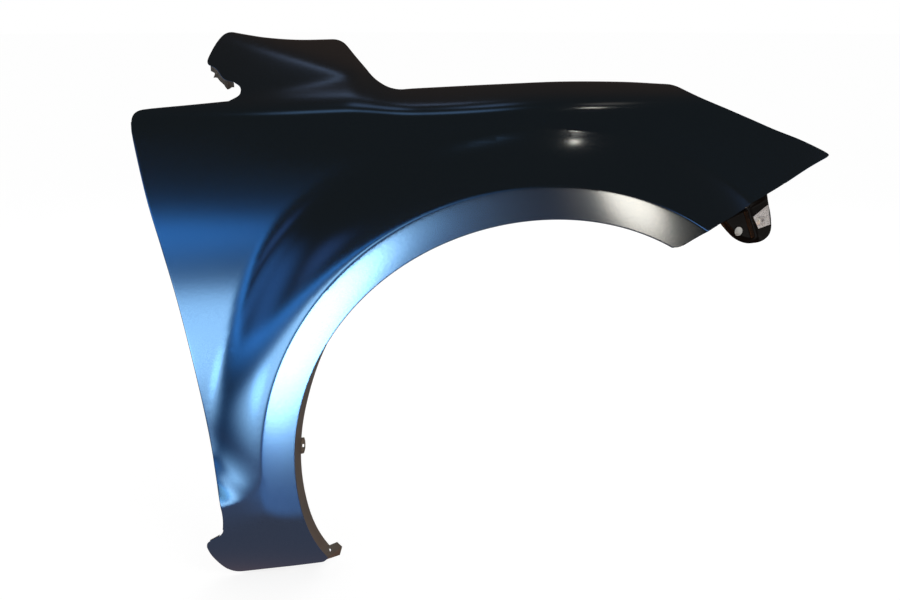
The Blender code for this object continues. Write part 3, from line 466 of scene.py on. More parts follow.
def flange(mesh, run, rows, painted=0):
    """Fold a flange along the run; each row places a point from its foot and the way out.
    The first rows take the paint, and the rest only the dip coat below it."""
    outs = []
    for index in range(len(run)):
        ahead = run[min(index + 1, len(run) - 1)].co
        behind = run[max(index - 1, 0)].co
        along = Vector((ahead.x - behind.x, 0, ahead.z - behind.z)).normalized()
        outs.append(Vector((along.z, 0, -along.x)))
    previous = list(run)
    feet = [vert.co.copy() for vert in run]
    for number, row in enumerate(rows):
        current = [mesh.verts.new(row(foot, out)) for foot, out in zip(feet, outs)]
        for index in range(len(run) - 1):
            face = mesh.faces.new((previous[index + 1], previous[index],
                                   current[index], current[index + 1]))
            face.material_index = 0 if number < painted else 1
        previous = current
    return previous


def reach_row(out_reach, in_reach):
    return lambda foot, out: foot + out * out_reach + INBOARD * in_reach


def fold_rows(out_share, in_share):
    """Rows of a rounded fold that ends this many folds out and inboard."""
    rows = []
    for number in range(1, FOLD_STEPS + 1):
        turn = QUARTER * number / FOLD_STEPS
        rows.append(reach_row(FOLD * out_share * math.sin(turn), FOLD * in_share * (1 - math.cos(turn))))
    return rows


ARCH_FLANGE = 0.0220
ARCH_FRONT_SPLAY = -0.0040
ARCH_TOP_SPLAY = 0.0
ARCH_REAR_SPLAY = 0.0075
SPLAY_TOP_START = math.radians(62)
SPLAY_TOP_RATE = 1.8
SPLAY_REAR_START = math.radians(138)
SPLAY_REAR_RATE = 2
FOOT_FLANGE = 0.0310
FOOT_SPLAY = 0.0200
FOOT_START = -0.1512
FOOT_LENGTH = 0.0060
EAR_ANGLE = math.radians(176.5)
EAR_LENGTH = 0.0320
EAR_DEPTH = 0.0058
GUTTER_DRAFT = 0.0030
LEDGE_HEIGHT = 0.4900
LEDGE_WIDTH = 0.0280
LAMP_FLANGE = 0.0140
BUMPER_FLANGE = 0.0140
TAB_FLANGE = 0.0100
TOP_FLANGE = 0.0110
DOOR_FLANGE = 0.0180
LUG_DEPTH = 0.0220
LUG_HEIGHT = 0.3900
LUG_SPREAD = 0.0260
SILL_FLANGE = 0.0280
SILL_END_FLANGE = 0.0160
SILL_NOTCH_FLANGE = 0.0060
HOOK_FLANGE = 0.0090
HOOK_FOOT = 0.0050
HOOK_FOOT_SPREAD = 0.0035
BRACKET_WIDTH = 0.0900
BRACKET_CLEAR = 0.0120
# How far each kind of fold swings out and inboard, in shares of FOLD
ARCH_FOLD = (0.45, 0.85)
HOOD_FOLD = (0, 0.9)
DOOR_FOLD = (0.5, 0.8)
OPEN_FOLD = (0.4, 0.9)
SQUARE_FOLD = (0, 1)
LEDGE_ROW_SHARES = (0, 0.08, 0.5, 1)
EAR_ROW_SHARES = (0.2, 0.6, 1)
RUN_SLACK = 0.01
HOOK_FOOT_FIFTHS = (2, 4)


def arch_flange_size(foot):
    """Width and splay of the arch flange, which leans out to the rear and ends in a foot."""
    angle = turn_of(foot.x, foot.z)
    splay = blend(ARCH_FRONT_SPLAY, ARCH_TOP_SPLAY, ramp((angle - SPLAY_TOP_START) * SPLAY_TOP_RATE))
    splay = blend(splay, ARCH_REAR_SPLAY, ramp((angle - SPLAY_REAR_START) * SPLAY_REAR_RATE))
    share = ramp((FOOT_START - foot.z) / FOOT_LENGTH) if foot.x < 0 else 0
    return blend(ARCH_FLANGE, FOOT_FLANGE, share), blend(splay, FOOT_SPLAY, share)


def arch_row(share):
    def row(foot, out):
        width, splay = arch_flange_size(foot)
        return foot + out * (splay * share) + INBOARD * (width * share)
    return row


def ear_row(share):
    def row(foot, out):
        place = (turn_of(foot.x, foot.z) - EAR_ANGLE) * 2 * ARCH_RADIUS / EAR_LENGTH
        bulge = math.sqrt(max(0, 1 - place ** 2)) + PROBE / EAR_DEPTH
        way = Vector((-foot.x, 0, -foot.z)).normalized()
        return foot + way * (EAR_DEPTH * bulge * share) + INBOARD * (FOLD * share)
    return row


def ledge_row(share):
    return lambda foot, out: Vector((foot.x, foot.y + GUTTER_DRAFT + LEDGE_WIDTH * share, LEDGE_HEIGHT))


def door_row(foot, out):
    lug = ramp(2 - abs(foot.z - LUG_HEIGHT) / LUG_SPREAD)
    return foot + INBOARD * (DOOR_FLANGE + LUG_DEPTH * lug)


trim, ranges = trimmed_edge()


def edge_near(name, x):
    """The trimmed edge's place on a run, where it passes this x."""
    first, last = ranges[name]
    for start, end in zip(trim[first:last], trim[first + 1:last + 1]):
        if min(start.x, end.x) <= x <= max(start.x, end.x):
            return start.lerp(end, (x - start.x) / (end.x - start.x))
    return min(trim[first:last + 1], key=lambda point: abs(point.x - x))


BRACKET_INSET = 0.0080
BRACKET_SPOT_SHARE = 0.445
low_end, high_end = arch_toe(), spot(*BUMPER_EDGE_SHARES[-1])
bracket_edge = edge_near("bumper", blend(low_end.x, high_end.x, BRACKET_SPOT_SHARE))
bracket_base = on_skin(*bracket_edge) + INBOARD * BRACKET_INSET

sheet, ring, order = sheet_from(*panel_points(trim), len(trim), skin_depth)


def part_of(name, low=-math.inf, high=math.inf):
    """The boundary's vertices on a named run, between two places along the car."""
    first, last = ranges[name]
    return [vert for vert in ring
            if first - RUN_SLACK <= order[vert] <= last + RUN_SLACK and low <= vert.co.x <= high]


def fold_back(run, fold, rows, painted=FOLD_STEPS):
    """Fold a flange back along the run: the rounded fold first, and then these rows."""
    return flange(sheet, run, fold_rows(*fold) + rows, painted)


arch_end = fold_back(part_of("arch"), ARCH_FOLD, [arch_row(0.5), arch_row(1)], FOLD_STEPS - 1)
ear = [vert for vert in arch_end
       if abs(turn_of(vert.co.x, vert.co.z) - EAR_ANGLE) * ARCH_RADIUS < EAR_LENGTH / 2]
flange(sheet, ear, [ear_row(share) for share in EAR_ROW_SHARES])
fold_back(part_of("hood"), HOOD_FOLD, [ledge_row(share) for share in LEDGE_ROW_SHARES])
fold_back(part_of("lamp"), SQUARE_FOLD, [reach_row(-FOLD, LAMP_FLANGE)])
half_gap = BRACKET_WIDTH / 2 + BRACKET_CLEAR
for low, high in ((-math.inf, bracket_base.x - half_gap), (bracket_base.x + half_gap, math.inf)):
    run = part_of("bumper", low, high)
    if len(run) > 1:
        fold_back(run, OPEN_FOLD, [reach_row(0, BUMPER_FLANGE)])
for name, out_reach in (("tab_front", -TAB_FLANGE), ("tab_top", -TAB_FLANGE), ("tab_rear", 0)):
    fold_back(part_of(name), SQUARE_FOLD, [reach_row(out_reach, TAB_FLANGE)])
hook = part_of("hook")
hook_feet = [hook[len(hook) * fifths // 5].co.copy() for fifths in HOOK_FOOT_FIFTHS]


def hook_row(foot, out):
    feet = sum(bell((foot - place).length, HOOK_FOOT_SPREAD) for place in hook_feet)
    return foot + out * (HOOK_FLANGE + HOOK_FOOT * feet) + INBOARD * (2 * HOOK_FLANGE)


fold_back(hook, OPEN_FOLD, [hook_row])
fold_back(part_of("top"), SQUARE_FOLD, [reach_row(-TOP_FLANGE / 2, TOP_FLANGE)])
fold_back(part_of("door"), DOOR_FOLD, [door_row])
fold_back(part_of("sill_notch"), OPEN_FOLD, [reach_row(0, SILL_NOTCH_FLANGE)], FOLD_STEPS - 2)
fold_back(part_of("sill_end"), OPEN_FOLD, [reach_row(0, SILL_END_FLANGE)])
flange(sheet, part_of("sill"), [reach_row(0, reach) for reach in (FOLD, SILL_FLANGE / 2, SILL_FLANGE)], 1)


def only(item):
    """Select this object alone and make it the active one."""
    bpy.ops.object.select_all(action='DESELECT')
    item.select_set(True)
    bpy.context.view_layer.objects.active = item


def add_object(name, data):
    """A new object in the scene, selected alone."""
    item = bpy.data.objects.new(name, data)
    bpy.context.scene.collection.objects.link(item)
    only(item)
    return item


def sheet_piece(mesh, name, thickness, finishes=0):
    """A piece from a surface worked out in the wheel's frame, given its thickness.
    With finishes, slots are kept for them, and its inside takes the one after the outside's."""
    bmesh.ops.translate(mesh, vec=WHEEL_CENTRE, verts=mesh.verts)
    data = bpy.data.meshes.new(name)
    mesh.to_mesh(data)
    mesh.free()
    piece = add_object(name, data)
    wall = piece.modifiers.new("sheet", 'SOLIDIFY')
    wall.thickness = thickness
    wall.offset = -1
    wall.use_even_offset = True
    if finishes:
        for _ in range(finishes):
            data.materials.append(None)
        wall.use_quality_normals = True
        wall.material_offset = 1
    bpy.ops.object.modifier_apply(modifier=wall.name)
    return piece


panel = sheet_piece(sheet, "fender_skin", SHEET, 3)

# Punched holes: three bolt slots in the hood ledge, screw holes for the wheel-arch liner and in the
# arch's foot, the clip slot in the ear, two bolt holes under the sill and one in the door edge's lug
BOLT_HOLE = 0.0090
BOLT_SLOT = 0.0160
SCREW_HOLE = 0.0060
FOOT_HOLE = 0.0040
EAR_SLOT = 0.0050
EAR_SLOT_WIDTH = 0.0026
PUNCH_REACH = 0.0060
PUNCH_SIDES = 32
PANEL_SMOOTH = math.radians(32)
LEDGE_SLOT_SHARES = (-0.26, 0.02, 0.29)
LINER_SCREW_DEGREES = (72, 98, 124, 150)
LINER_SCREW_SHARE = 0.55
FOOT_SCREW_DEGREES = 206.6
FOOT_SCREW_SHARE = 0.45
LEDGE_SLOT_DEPTH_SHARE = 0.55
SILL_HOLE_DEPTH_SHARE = 0.6
LUG_HOLE_SHARE = 0.35
SILL_HOLE_SHARES = (-0.770, -0.655)


def arch_flange_point(angle, share):
    foot = on_skin(*arch_spot(angle, ARCH_RADIUS))
    width, splay = arch_flange_size(foot)
    out = Vector((-math.cos(angle), 0, -math.sin(angle)))
    return foot + out * (splay * share) + INBOARD * (width * share), out


def punch(place, axis, width, length=0, along=None):
    """Model a round punch, or a slotted one of this length."""
    bpy.ops.object.select_all(action='DESELECT')
    bpy.ops.mesh.primitive_cylinder_add(vertices=PUNCH_SIDES, radius=width / 2, depth=2 * PUNCH_REACH)
    tool = bpy.context.object
    stretch = max(0, length - width) / 2
    for vert in tool.data.vertices:
        vert.co.x += math.copysign(stretch, vert.co.x)
    axis = axis.normalized()
    along = along or axis.orthogonal()
    along = (along - axis * along.dot(axis)).normalized()
    turn = Matrix((along, axis.cross(along), axis)).transposed().to_4x4()
    tool.data.transform(Matrix.Translation(place + WHEEL_CENTRE) @ turn)
    return tool


def combine(piece, tool, operation):
    """Cut the tool out of the piece, or join it to the piece, and remove the tool."""
    only(piece)
    change = piece.modifiers.new("boolean", 'BOOLEAN')
    change.operation = operation
    change.solver = 'EXACT'
    change.object = tool
    bpy.ops.object.modifier_apply(modifier=change.name)
    bpy.data.objects.remove(tool, do_unlink=True)


def cut_holes(piece, tools):
    """Join the punches and cut them out of the piece."""
    only(tools[0])
    for tool in tools:
        tool.select_set(True)
    bpy.ops.object.join()
    combine(piece, bpy.context.object, 'DIFFERENCE')


punches = []
for share in LEDGE_SLOT_SHARES:
    foot = on_skin(*edge_near("hood", reach_x(share)))
    depth = foot.y + GUTTER_DRAFT + LEDGE_WIDTH * LEDGE_SLOT_DEPTH_SHARE
    place = Vector((reach_x(share), depth, LEDGE_HEIGHT))
    punches.append(punch(place, UP, BOLT_HOLE, BOLT_SLOT, AHEAD))
for degrees in LINER_SCREW_DEGREES:
    place, out = arch_flange_point(math.radians(degrees), LINER_SCREW_SHARE)
    punches.append(punch(place, out, SCREW_HOLE))
place, out = arch_flange_point(math.radians(FOOT_SCREW_DEGREES), FOOT_SCREW_SHARE)
punches.append(punch(place, out, FOOT_HOLE))
place, out = arch_flange_point(EAR_ANGLE, 1)
punches.append(punch(place + out * (EAR_DEPTH / 2), INBOARD, EAR_SLOT_WIDTH, EAR_SLOT, out.cross(INBOARD)))
for share in SILL_HOLE_SHARES:
    place = on_skin(*edge_near("sill", reach_x(share))) + INBOARD * (SILL_FLANGE * SILL_HOLE_DEPTH_SHARE)
    punches.append(punch(place, UP, BOLT_HOLE))
first, last = ranges["door"]
lug = min(trim[first:last], key=lambda point: abs(point.y - LUG_HEIGHT))
place = on_skin(*lug) + INBOARD * (DOOR_FLANGE + LUG_DEPTH * LUG_HOLE_SHARE)
punches.append(punch(place, AHEAD, BOLT_HOLE))
cut_holes(panel, punches)
bpy.ops.object.shade_smooth_by_angle(angle=PANEL_SMOOTH)


def linear(code):
    """An sRGB hex colour as the linear colour that the shader takes."""
    channels = [int(code[index:index + 2], 16) / 255 for index in (0, 2, 4)]
    return tuple(c / 12.92 if c <= 0.04045 else ((c + 0.055) / 1.055) ** 2.4 for c in channels) + (1.0,)


def set_inputs(material, node, inputs):
    """Give each named or numbered socket a value, or a link from a socket or a node's first one."""
    for key, value in dict(inputs).items():
        if isinstance(value, bpy.types.Node):
            value = value.outputs[0]
        if isinstance(value, bpy.types.NodeSocket):
            material.node_tree.links.new(value, node.inputs[key])
        else:
            node.inputs[key].default_value = value


def add_node(material, kind, inputs=(), **settings):
    node = material.node_tree.nodes.new(kind)
    for name, value in settings.items():
        setattr(node, name, value)
    set_inputs(material, node, inputs)
    return node


def noise(material, coordinates, per_metre, detail):
    """Noise of this many spots to the metre."""
    inputs = {"Vector": coordinates, "Scale": per_metre, "Detail": detail}
    return add_node(material, "ShaderNodeTexNoise", inputs).outputs[0]


def spanned(material, source, low, high, start=0, end=1, **settings):
    """A value that goes from low to high while the source goes from start to end."""
    inputs = {"Value": source, "To Min": low, "To Max": high, "From Min": start, "From Max": end}
    return add_node(material, "ShaderNodeMapRange", inputs, **settings).outputs[0]


def mixed(material, source, first, second):
    """A colour between two, as the source says."""
    inputs = {0: source, 6: first, 7: second}
    return add_node(material, "ShaderNodeMix", inputs, data_type='RGBA').outputs[2]


def new_material(name):
    """A material with its Principled shader and its Object coordinates."""
    material = bpy.data.materials.new(name)
    material.use_nodes = True
    shader = material.node_tree.nodes["Principled BSDF"]
    coordinates = add_node(material, "ShaderNodeTexCoord").outputs["Object"]
    return material, shader, coordinates


# Satin metallic paint: aluminium flakes in blue lacquer. It mirrors softly, so the eye sees the
# room in it as blue and grey clouds, and the flakes and a faint orange peel break the gloss up.
# Real flakes are near 0.05 mm. They are drawn 1 mm wide, as finer ones would only flicker.
FLAKES_PER_METRE = 900.0
CLOUDS_PER_METRE = 14.0
PEEL_PER_METRE = 220.0
PEEL_DEPTH = 0.0004
PEEL_STRENGTH = 0.03
satin_blue, shader, coordinates = new_material("satin_metallic_blue_paint")
flakes = noise(satin_blue, coordinates, FLAKES_PER_METRE, 1.0)
flake_tint = spanned(satin_blue, flakes, 0, 1, 0.25, 0.75)
peel = noise(satin_blue, coordinates, PEEL_PER_METRE, 1.0)
relief = add_node(satin_blue, "ShaderNodeBump",
                  {"Height": peel, "Strength": PEEL_STRENGTH, "Distance": PEEL_DEPTH})
set_inputs(satin_blue, shader, {
    "Base Color": mixed(satin_blue, flake_tint, linear("3d649c"), linear("476fa6")),
    "Roughness": spanned(satin_blue, noise(satin_blue, coordinates, CLOUDS_PER_METRE, 3.0), 0.14, 0.16),
    "Normal": relief,
    "Metallic": 1.0})

# Dip coat: the matt dark grey primer of the bath. It is all that the folded flanges and the inside face
# get, so they look dull. Its brown cast is a painted reflection of the dim warm room, and soft patches vary
# its tone at random.
STAINS_PER_METRE = 26.0
dip_coat, shader, coordinates = new_material("matt_grey_brown_dip_coat")
stains = noise(dip_coat, coordinates, STAINS_PER_METRE, 4.0)
set_inputs(dip_coat, shader, {
    # Both tones carry the painted brown reflection of the room over the grey primer
    "Base Color": mixed(dip_coat, stains, linear("4a443e"), linear("6b635a")),
    "Roughness": spanned(dip_coat, stains, 0.42, 0.6)})

for index, finish in enumerate((satin_blue, dip_coat, dip_coat)):
    panel.data.materials[index] = finish
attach(panel, "root")
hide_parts("fender_panel")


# The bumper bracket is one stamping of 1.2 mm steel: a dished plate with a pressed ridge, dipped
# in gloss black. Its upper strip lies behind the bumper edge, where spot welds hold it.
BRACKET_SHEET = 0.0012
BRACKET_DROP = 0.0600
BRACKET_YAW = math.radians(19)
BRACKET_BLEND = 0.0100
BRACKET_RIB = 0.0035
BRACKET_RIB_WIDTH = 0.0034
BRACKET_RIM = 0.0045
BRACKET_RIM_WIDTH = 0.0090
BRACKET_STEP = 0.0018
BRACKET_SMOOTH = math.radians(50)
WELD_GAP = 0.0009
SEAT_GAP = 0.0003
RIVET_SHANK = 0.0060
RIVET_CLEARANCE = 0.0006
NUT_PASSAGE = 0.0090
BRACKET_SHARES = ((-0.494, -0.45), (-0.373, -0.635), (-0.232, -0.82), (-0.073, -0.945), (0.082, -1.0),
                  (0.235, -0.98), (0.366, -0.91), (0.446, -0.795), (0.471, -0.65), (0.462, -0.505),
                  (0.436, -0.305), (0.395, -0.11), (0.345, 0.16))
BRACKET_TOP_SHARES = ((0.33, 0.41), (0.0, 0.17), (-0.36, -0.09))
RIB_TOP_SHARES = (-0.04, -0.12)
RIB_FOOT_SHARES = (0.15, -0.81)
RIVET_SHARES = (-0.162, -0.66)
NUT_SHARES = (0.253, -0.43)
CLIP_SHARES = ((0.352, -0.08), (0.100, -0.34), (0.218, -0.635), (0.420, -0.56))
RIM_FADE_SHARES = (0.10, 0.30)

bracket_along = Vector((math.cos(BRACKET_YAW), math.sin(BRACKET_YAW), 0))
bracket_out = Vector((math.sin(BRACKET_YAW), -math.cos(BRACKET_YAW), 0))


def bracket_spot(shares):
    """Place in the bracket's own plane: along it and up it."""
    return Vector((shares[0] * BRACKET_WIDTH, shares[1] * BRACKET_DROP))


def on_bracket(spot_2d, height=0):
    """The place in the wheel's frame of a spot in that plane, this far off its face."""
    return bracket_base + bracket_along * spot_2d.x + UP * spot_2d.y + bracket_out * height


def side_view(spot_2d):
    place = on_bracket(spot_2d)
    return Vector((place.x, place.z))


bumper_low = edge_near("bumper", bracket_base.x - BRACKET_WIDTH / 2)
bumper_high = edge_near("bumper", bracket_base.x + BRACKET_WIDTH / 2)
bumper_way = (bumper_high - bumper_low).normalized()
rib_top, rib_foot = bracket_spot(RIB_TOP_SHARES), bracket_spot(RIB_FOOT_SHARES)
body = smooth_line([side_view(bracket_spot(pair)) for pair in BRACKET_SHARES], BRACKET_STEP)
top = smooth_line([side_view(bracket_spot(pair)) for pair in BRACKET_TOP_SHARES], BRACKET_STEP)
rim = tree_of(body)


def bracket_depth(x, z):
    """Depth of the plate, with its ridge, its rim rolled back and its strip behind the skin."""
    reach = (x - bracket_base.x) / math.cos(BRACKET_YAW)
    place = Vector((reach, z - bracket_base.z))
    share = min(1, max(0, (place - rib_top).dot(rib_foot - rib_top) / (rib_foot - rib_top).length_squared))
    flat = bracket_base.y + (x - bracket_base.x) * math.tan(BRACKET_YAW)
    flat -= BRACKET_RIB * bell((place - rib_top.lerp(rib_foot, share)).length, BRACKET_RIB_WIDTH)
    fade_start, fade_end = RIM_FADE_SHARES
    free = 1 - ramp((reach / BRACKET_WIDTH - fade_start) / (fade_end - fade_start))
    flat += BRACKET_RIM * free * ramp(1 - rim.find((x, z, 0))[2] / BRACKET_RIM_WIDTH)
    offset = Vector((x, z)) - bumper_low
    above = bumper_way.x * offset.y - bumper_way.y * offset.x
    held = ramp((above + BRACKET_BLEND) / BRACKET_BLEND)
    across = (skin_depth(x + PROBE, z) - skin_depth(x - PROBE, z)) / (2 * PROBE)
    rise = (skin_depth(x, z + PROBE) - skin_depth(x, z - PROBE)) / (2 * PROBE)
    behind = skin_depth(x, z) + (SHEET + WELD_GAP) * math.sqrt(1 + across * across + rise * rise)
    return flat * (1 - held) + behind * held


edge = body + top
corner = Vector((BRACKET_WIDTH, BRACKET_DROP))
rows = face_rows(side_view(-corner), side_view(corner), BRACKET_STEP)
sheet, _, _ = sheet_from(edge + spread(rows, edge, BRACKET_STEP / 2), [], len(edge), bracket_depth)
bracket = sheet_piece(sheet, "bracket_stamping", BRACKET_SHEET)
bpy.ops.object.shade_smooth_by_angle(angle=BRACKET_SMOOTH)
holes = ((RIVET_SHARES, RIVET_SHANK + RIVET_CLEARANCE), (NUT_SHARES, NUT_PASSAGE))
cut_holes(bracket, [punch(on_bracket(bracket_spot(shares)), bracket_out, width) for shares, width in holes])

# Gloss black dip coat: near black, with small soft lights along the ridge and rim, a little
# uneven where the coat ran.
DRIPS_PER_METRE = 160.0
black_dip, shader, coordinates = new_material("gloss_black_dip_coat")
drips = noise(black_dip, coordinates, DRIPS_PER_METRE, 2.0)
set_inputs(black_dip, shader, {
    "Base Color": linear("0b0b0c"),
    "Roughness": spanned(black_dip, drips, 0.16, 0.28),
    "Specular IOR Level": 0.12})
bracket.data.materials.append(black_dip)
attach(bracket, "root")
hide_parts("bumper_bracket")


# The push rivet is moulded in white nylon: a low dome on a flat rim, and a split shank with a barb
# that was pushed through the bracket's round hole. It is turned here as one profile.
RIVET_HEAD = 0.0130
RIVET_RIM = 0.0012
RIVET_DOME = 0.0024
RIVET_LENGTH = 0.0120
RIVET_BARB = 0.0080
DOME_SHARE = 0.80
STEP_SHARE = 0.84
NECK_SHARE = 0.35
BARB_SHARE = 0.55
TIP_SHARE = 0.5
ROUND_STEPS = 6
RIVET_SIDES = 64
FITTING_SMOOTH = math.radians(35)

head, shank, tail = RIVET_HEAD / 2, RIVET_SHANK / 2, RIVET_LENGTH - BRACKET_SHEET
turns = [QUARTER * number / ROUND_STEPS for number in range(2 * ROUND_STEPS + 1)]
profile = [(head * DOME_SHARE * math.sin(turn), RIVET_RIM + RIVET_DOME * math.cos(turn))
           for turn in turns[:ROUND_STEPS + 1]]
profile.append((head * STEP_SHARE, RIVET_RIM))
profile += [(head - RIVET_RIM / 2 * (1 - math.sin(turn)), RIVET_RIM / 2 * (1 + math.cos(turn)))
            for turn in turns]
profile += [(shank, 0), (shank, -tail * NECK_SHARE), (RIVET_BARB / 2, -tail * BARB_SHARE),
            (shank * TIP_SHARE, -tail), (0, -tail)]
data = bpy.data.meshes.new("rivet_turning")
data.from_pydata([(radius, 0, height) for radius, height in profile],
                 [(number, number + 1) for number in range(len(profile) - 1)], [])
rivet = add_object("rivet_turning", data)
spin = rivet.modifiers.new("turning", 'SCREW')
spin.steps = RIVET_SIDES
spin.render_steps = RIVET_SIDES
spin.use_merge_vertices = True
spin.merge_threshold = PROBE / 20
bpy.ops.object.modifier_apply(modifier=spin.name)
bpy.ops.object.mode_set(mode='EDIT')
bpy.ops.mesh.select_all(action='SELECT')
bpy.ops.mesh.normals_make_consistent(inside=False)
bpy.ops.object.mode_set(mode='OBJECT')
bpy.ops.object.shade_smooth_by_angle(angle=FITTING_SMOOTH)
seat = on_bracket(bracket_spot(RIVET_SHARES), SEAT_GAP) + WHEEL_CENTRE
turn = UP.rotation_difference(bracket_out).to_matrix().to_4x4()
rivet.data.transform(Matrix.Translation(seat) @ turn)

# Moulded nylon: a plain milky white with a soft sheen. The mould's grain, near 0.1 mm, is drawn
# 2.5 mm wide, as finer grain would only flicker.
MOULD_GRAINS_PER_METRE = 400.0
white_plastic, shader, coordinates = new_material("white_moulded_nylon")
haze = noise(white_plastic, coordinates, MOULD_GRAINS_PER_METRE, 2.0)
set_inputs(white_plastic, shader, {
    "Base Color": linear("e4e2dc"),
    "Roughness": spanned(white_plastic, haze, 0.35, 0.5)})
rivet.data.materials.append(white_plastic)
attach(rivet, "root")
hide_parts("push_rivet")


# The clip nut is one strip of 0.8 mm spring steel, bent round the bracket's edge and zinc-plated,
# with a square nut formed on its face for the bumper's screw.
CLIP_SHEET = 0.0008
CLIP_BACK_LENGTH = 0.0260
CLIP_BENDS = 14
CLIP_TAPER_SHARE = 0.6
NUT_WIDTH = 0.0105
NUT_DEPTH = 0.0045
NUT_BORE = 0.0052
NUT_BEVEL = 0.0014
NUT_BEVEL_STEPS = 3

corners = [bracket_spot(pair) for pair in CLIP_SHARES]
front = SEAT_GAP + CLIP_SHEET
back = -BRACKET_SHEET - SEAT_GAP - CLIP_SHEET
middle, radius = (front + back) / 2, (front - back) / 2
sheet = bmesh.new()
strips = []
for inner, outer in ((corners[2], corners[3]), (corners[1], corners[0])):
    end = outer.x + SEAT_GAP + CLIP_SHEET
    line = [(inner.x, inner.y, front), (end, outer.y, front)]
    for number in range(1, CLIP_BENDS):
        angle = math.pi * number / CLIP_BENDS
        line.append((end + radius * math.sin(angle), outer.y, middle + radius * math.cos(angle)))
    line.append((end, outer.y, back))
    line.append((end - CLIP_BACK_LENGTH, blend(outer.y, inner.y, CLIP_TAPER_SHARE), back))
    strips.append([sheet.verts.new(on_bracket(Vector((x, z)), height)) for x, z, height in line])
for index in range(len(strips[0]) - 1):
    sheet.faces.new((strips[0][index], strips[0][index + 1], strips[1][index + 1], strips[1][index]))
sheet.normal_update()
if list(sheet.faces)[0].normal.dot(bracket_out) < 0:
    bmesh.ops.reverse_faces(sheet, faces=sheet.faces)
clip = sheet_piece(sheet, "clip_strip", CLIP_SHEET)
bpy.ops.object.shade_smooth_by_angle(angle=FITTING_SMOOTH)

bpy.ops.object.select_all(action='DESELECT')
bpy.ops.mesh.primitive_cube_add(size=1)
nut = bpy.context.object
for vert in nut.data.vertices:
    vert.co = Vector((vert.co.x * NUT_WIDTH, vert.co.y * NUT_WIDTH, vert.co.z * NUT_DEPTH))
round_off = nut.modifiers.new("edges", 'BEVEL')
round_off.width = NUT_BEVEL
round_off.segments = NUT_BEVEL_STEPS
bpy.ops.object.modifier_apply(modifier=round_off.name)
place = on_bracket(bracket_spot(NUT_SHARES), front - CLIP_SHEET / 2 + NUT_DEPTH / 2) + WHEEL_CENTRE
turn = Matrix((bracket_along, UP, bracket_out)).transposed().to_4x4()
nut.data.transform(Matrix.Translation(place) @ turn)
combine(clip, nut, 'UNION')
cut_holes(clip, [punch(on_bracket(bracket_spot(NUT_SHARES)), bracket_out, NUT_BORE)])
bpy.ops.object.shade_smooth_by_angle(angle=FITTING_SMOOTH)

# Bright zinc plate: pale silver that half mirrors and half scatters, so the clip looks light. Its
# haze, far finer in real plate, is drawn 1.7 mm wide for the same reason.
PLATE_GRAINS_PER_METRE = 600.0
zinc, shader, coordinates = new_material("bright_zinc_plate")
grain = noise(zinc, coordinates, PLATE_GRAINS_PER_METRE, 2.0)
set_inputs(zinc, shader, {
    "Base Color": linear("e9e9ea"),
    "Roughness": spanned(zinc, grain, 0.22, 0.34),
    "Metallic": 0.50})
clip.data.materials.append(zinc)
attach(clip, "root")
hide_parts("clip_nut")


# A plain pale studio: a white floor that reaches the horizon, and above it a dim warm room, which
# the paint mirrors. The room's lit patches of floor, wall and roof and its bulb are soft cards that
# show in the paint and the metal alone. Two lamps light the pieces.
FLOOR_DROP = 0.0005
FLOOR_RADIUS = 40
FLOOR_GLOW = 0.84
# Centre of the painted pool of light on the floor, which only reflections show
PAINTED_POOL_CENTRE = (-0.3, -0.3, 0)
CARD_RISE = 0.0040
ROOM = (0.125, 0.065, 0.032, 1)
# Tint of that painted pool of light
PAINTED_POOL_TINT = (0.55, 0.28, 0.19, 1)


def grey(level):
    return (level, level, level, 1)


def combined(material, operation, first, second):
    return add_node(material, "ShaderNodeMath", {0: first, 1: second}, operation=operation)


bpy.ops.object.select_all(action='DESELECT')
bpy.ops.mesh.primitive_circle_add(vertices=96, radius=FLOOR_RADIUS, fill_type='NGON',
                                  location=(0, 0, cad_box[0][2] - FLOOR_DROP))
floor = bpy.context.object
floor.name = "studio_floor"
# Matt white: the eye sees a plain sweep that takes a faint shadow. The paint sees a glow of the floor
# instead, in reflections alone: a painted pool of light near the panel on a dim room colour, and a painted
# grey glow behind it.
white_floor, _, coordinates = new_material("matt_white_floor")
place = add_node(white_floor, "ShaderNodeSeparateXYZ", {0: coordinates}).outputs
reach = add_node(white_floor, "ShaderNodeVectorMath", {0: coordinates, 1: PAINTED_POOL_CENTRE}, operation='DISTANCE')
# Painted glow for reflections: the painted pool of light near the panel, dim room colour round it, grey
# glow behind
painted_pool_share = spanned(white_floor, reach.outputs["Value"], 0, 1, 0.9, 0.25, interpolation_type='SMOOTHSTEP')
behind = spanned(white_floor, place["Y"], 0, 1, -0.10, 0.30)
painted_floor_glow_tint = mixed(white_floor, behind, mixed(white_floor, painted_pool_share, ROOM, PAINTED_POOL_TINT), grey(0.3))
mirrored = add_node(white_floor, "ShaderNodeEmission", {"Color": painted_floor_glow_tint})
glow = add_node(white_floor, "ShaderNodeEmission", {"Color": grey(1), "Strength": FLOOR_GLOW})
lit = add_node(white_floor, "ShaderNodeBsdfDiffuse", {"Color": grey(0.25)})
seen_floor = add_node(white_floor, "ShaderNodeAddShader", {0: glow, 1: lit})
unlit = add_node(white_floor, "ShaderNodeBsdfDiffuse", {"Color": grey(0.20)})
path = add_node(white_floor, "ShaderNodeLightPath").outputs
seen = combined(white_floor, 'MAXIMUM', path["Is Camera Ray"], path["Is Transmission Ray"])
finish = add_node(white_floor, "ShaderNodeMixShader", {0: seen, 1: unlit, 2: seen_floor})
finish = add_node(white_floor, "ShaderNodeMixShader", {0: path["Is Glossy Ray"], 1: finish, 2: mirrored})
set_inputs(white_floor, white_floor.node_tree.nodes["Material Output"], {"Surface": finish})
floor.data.materials.append(white_floor)

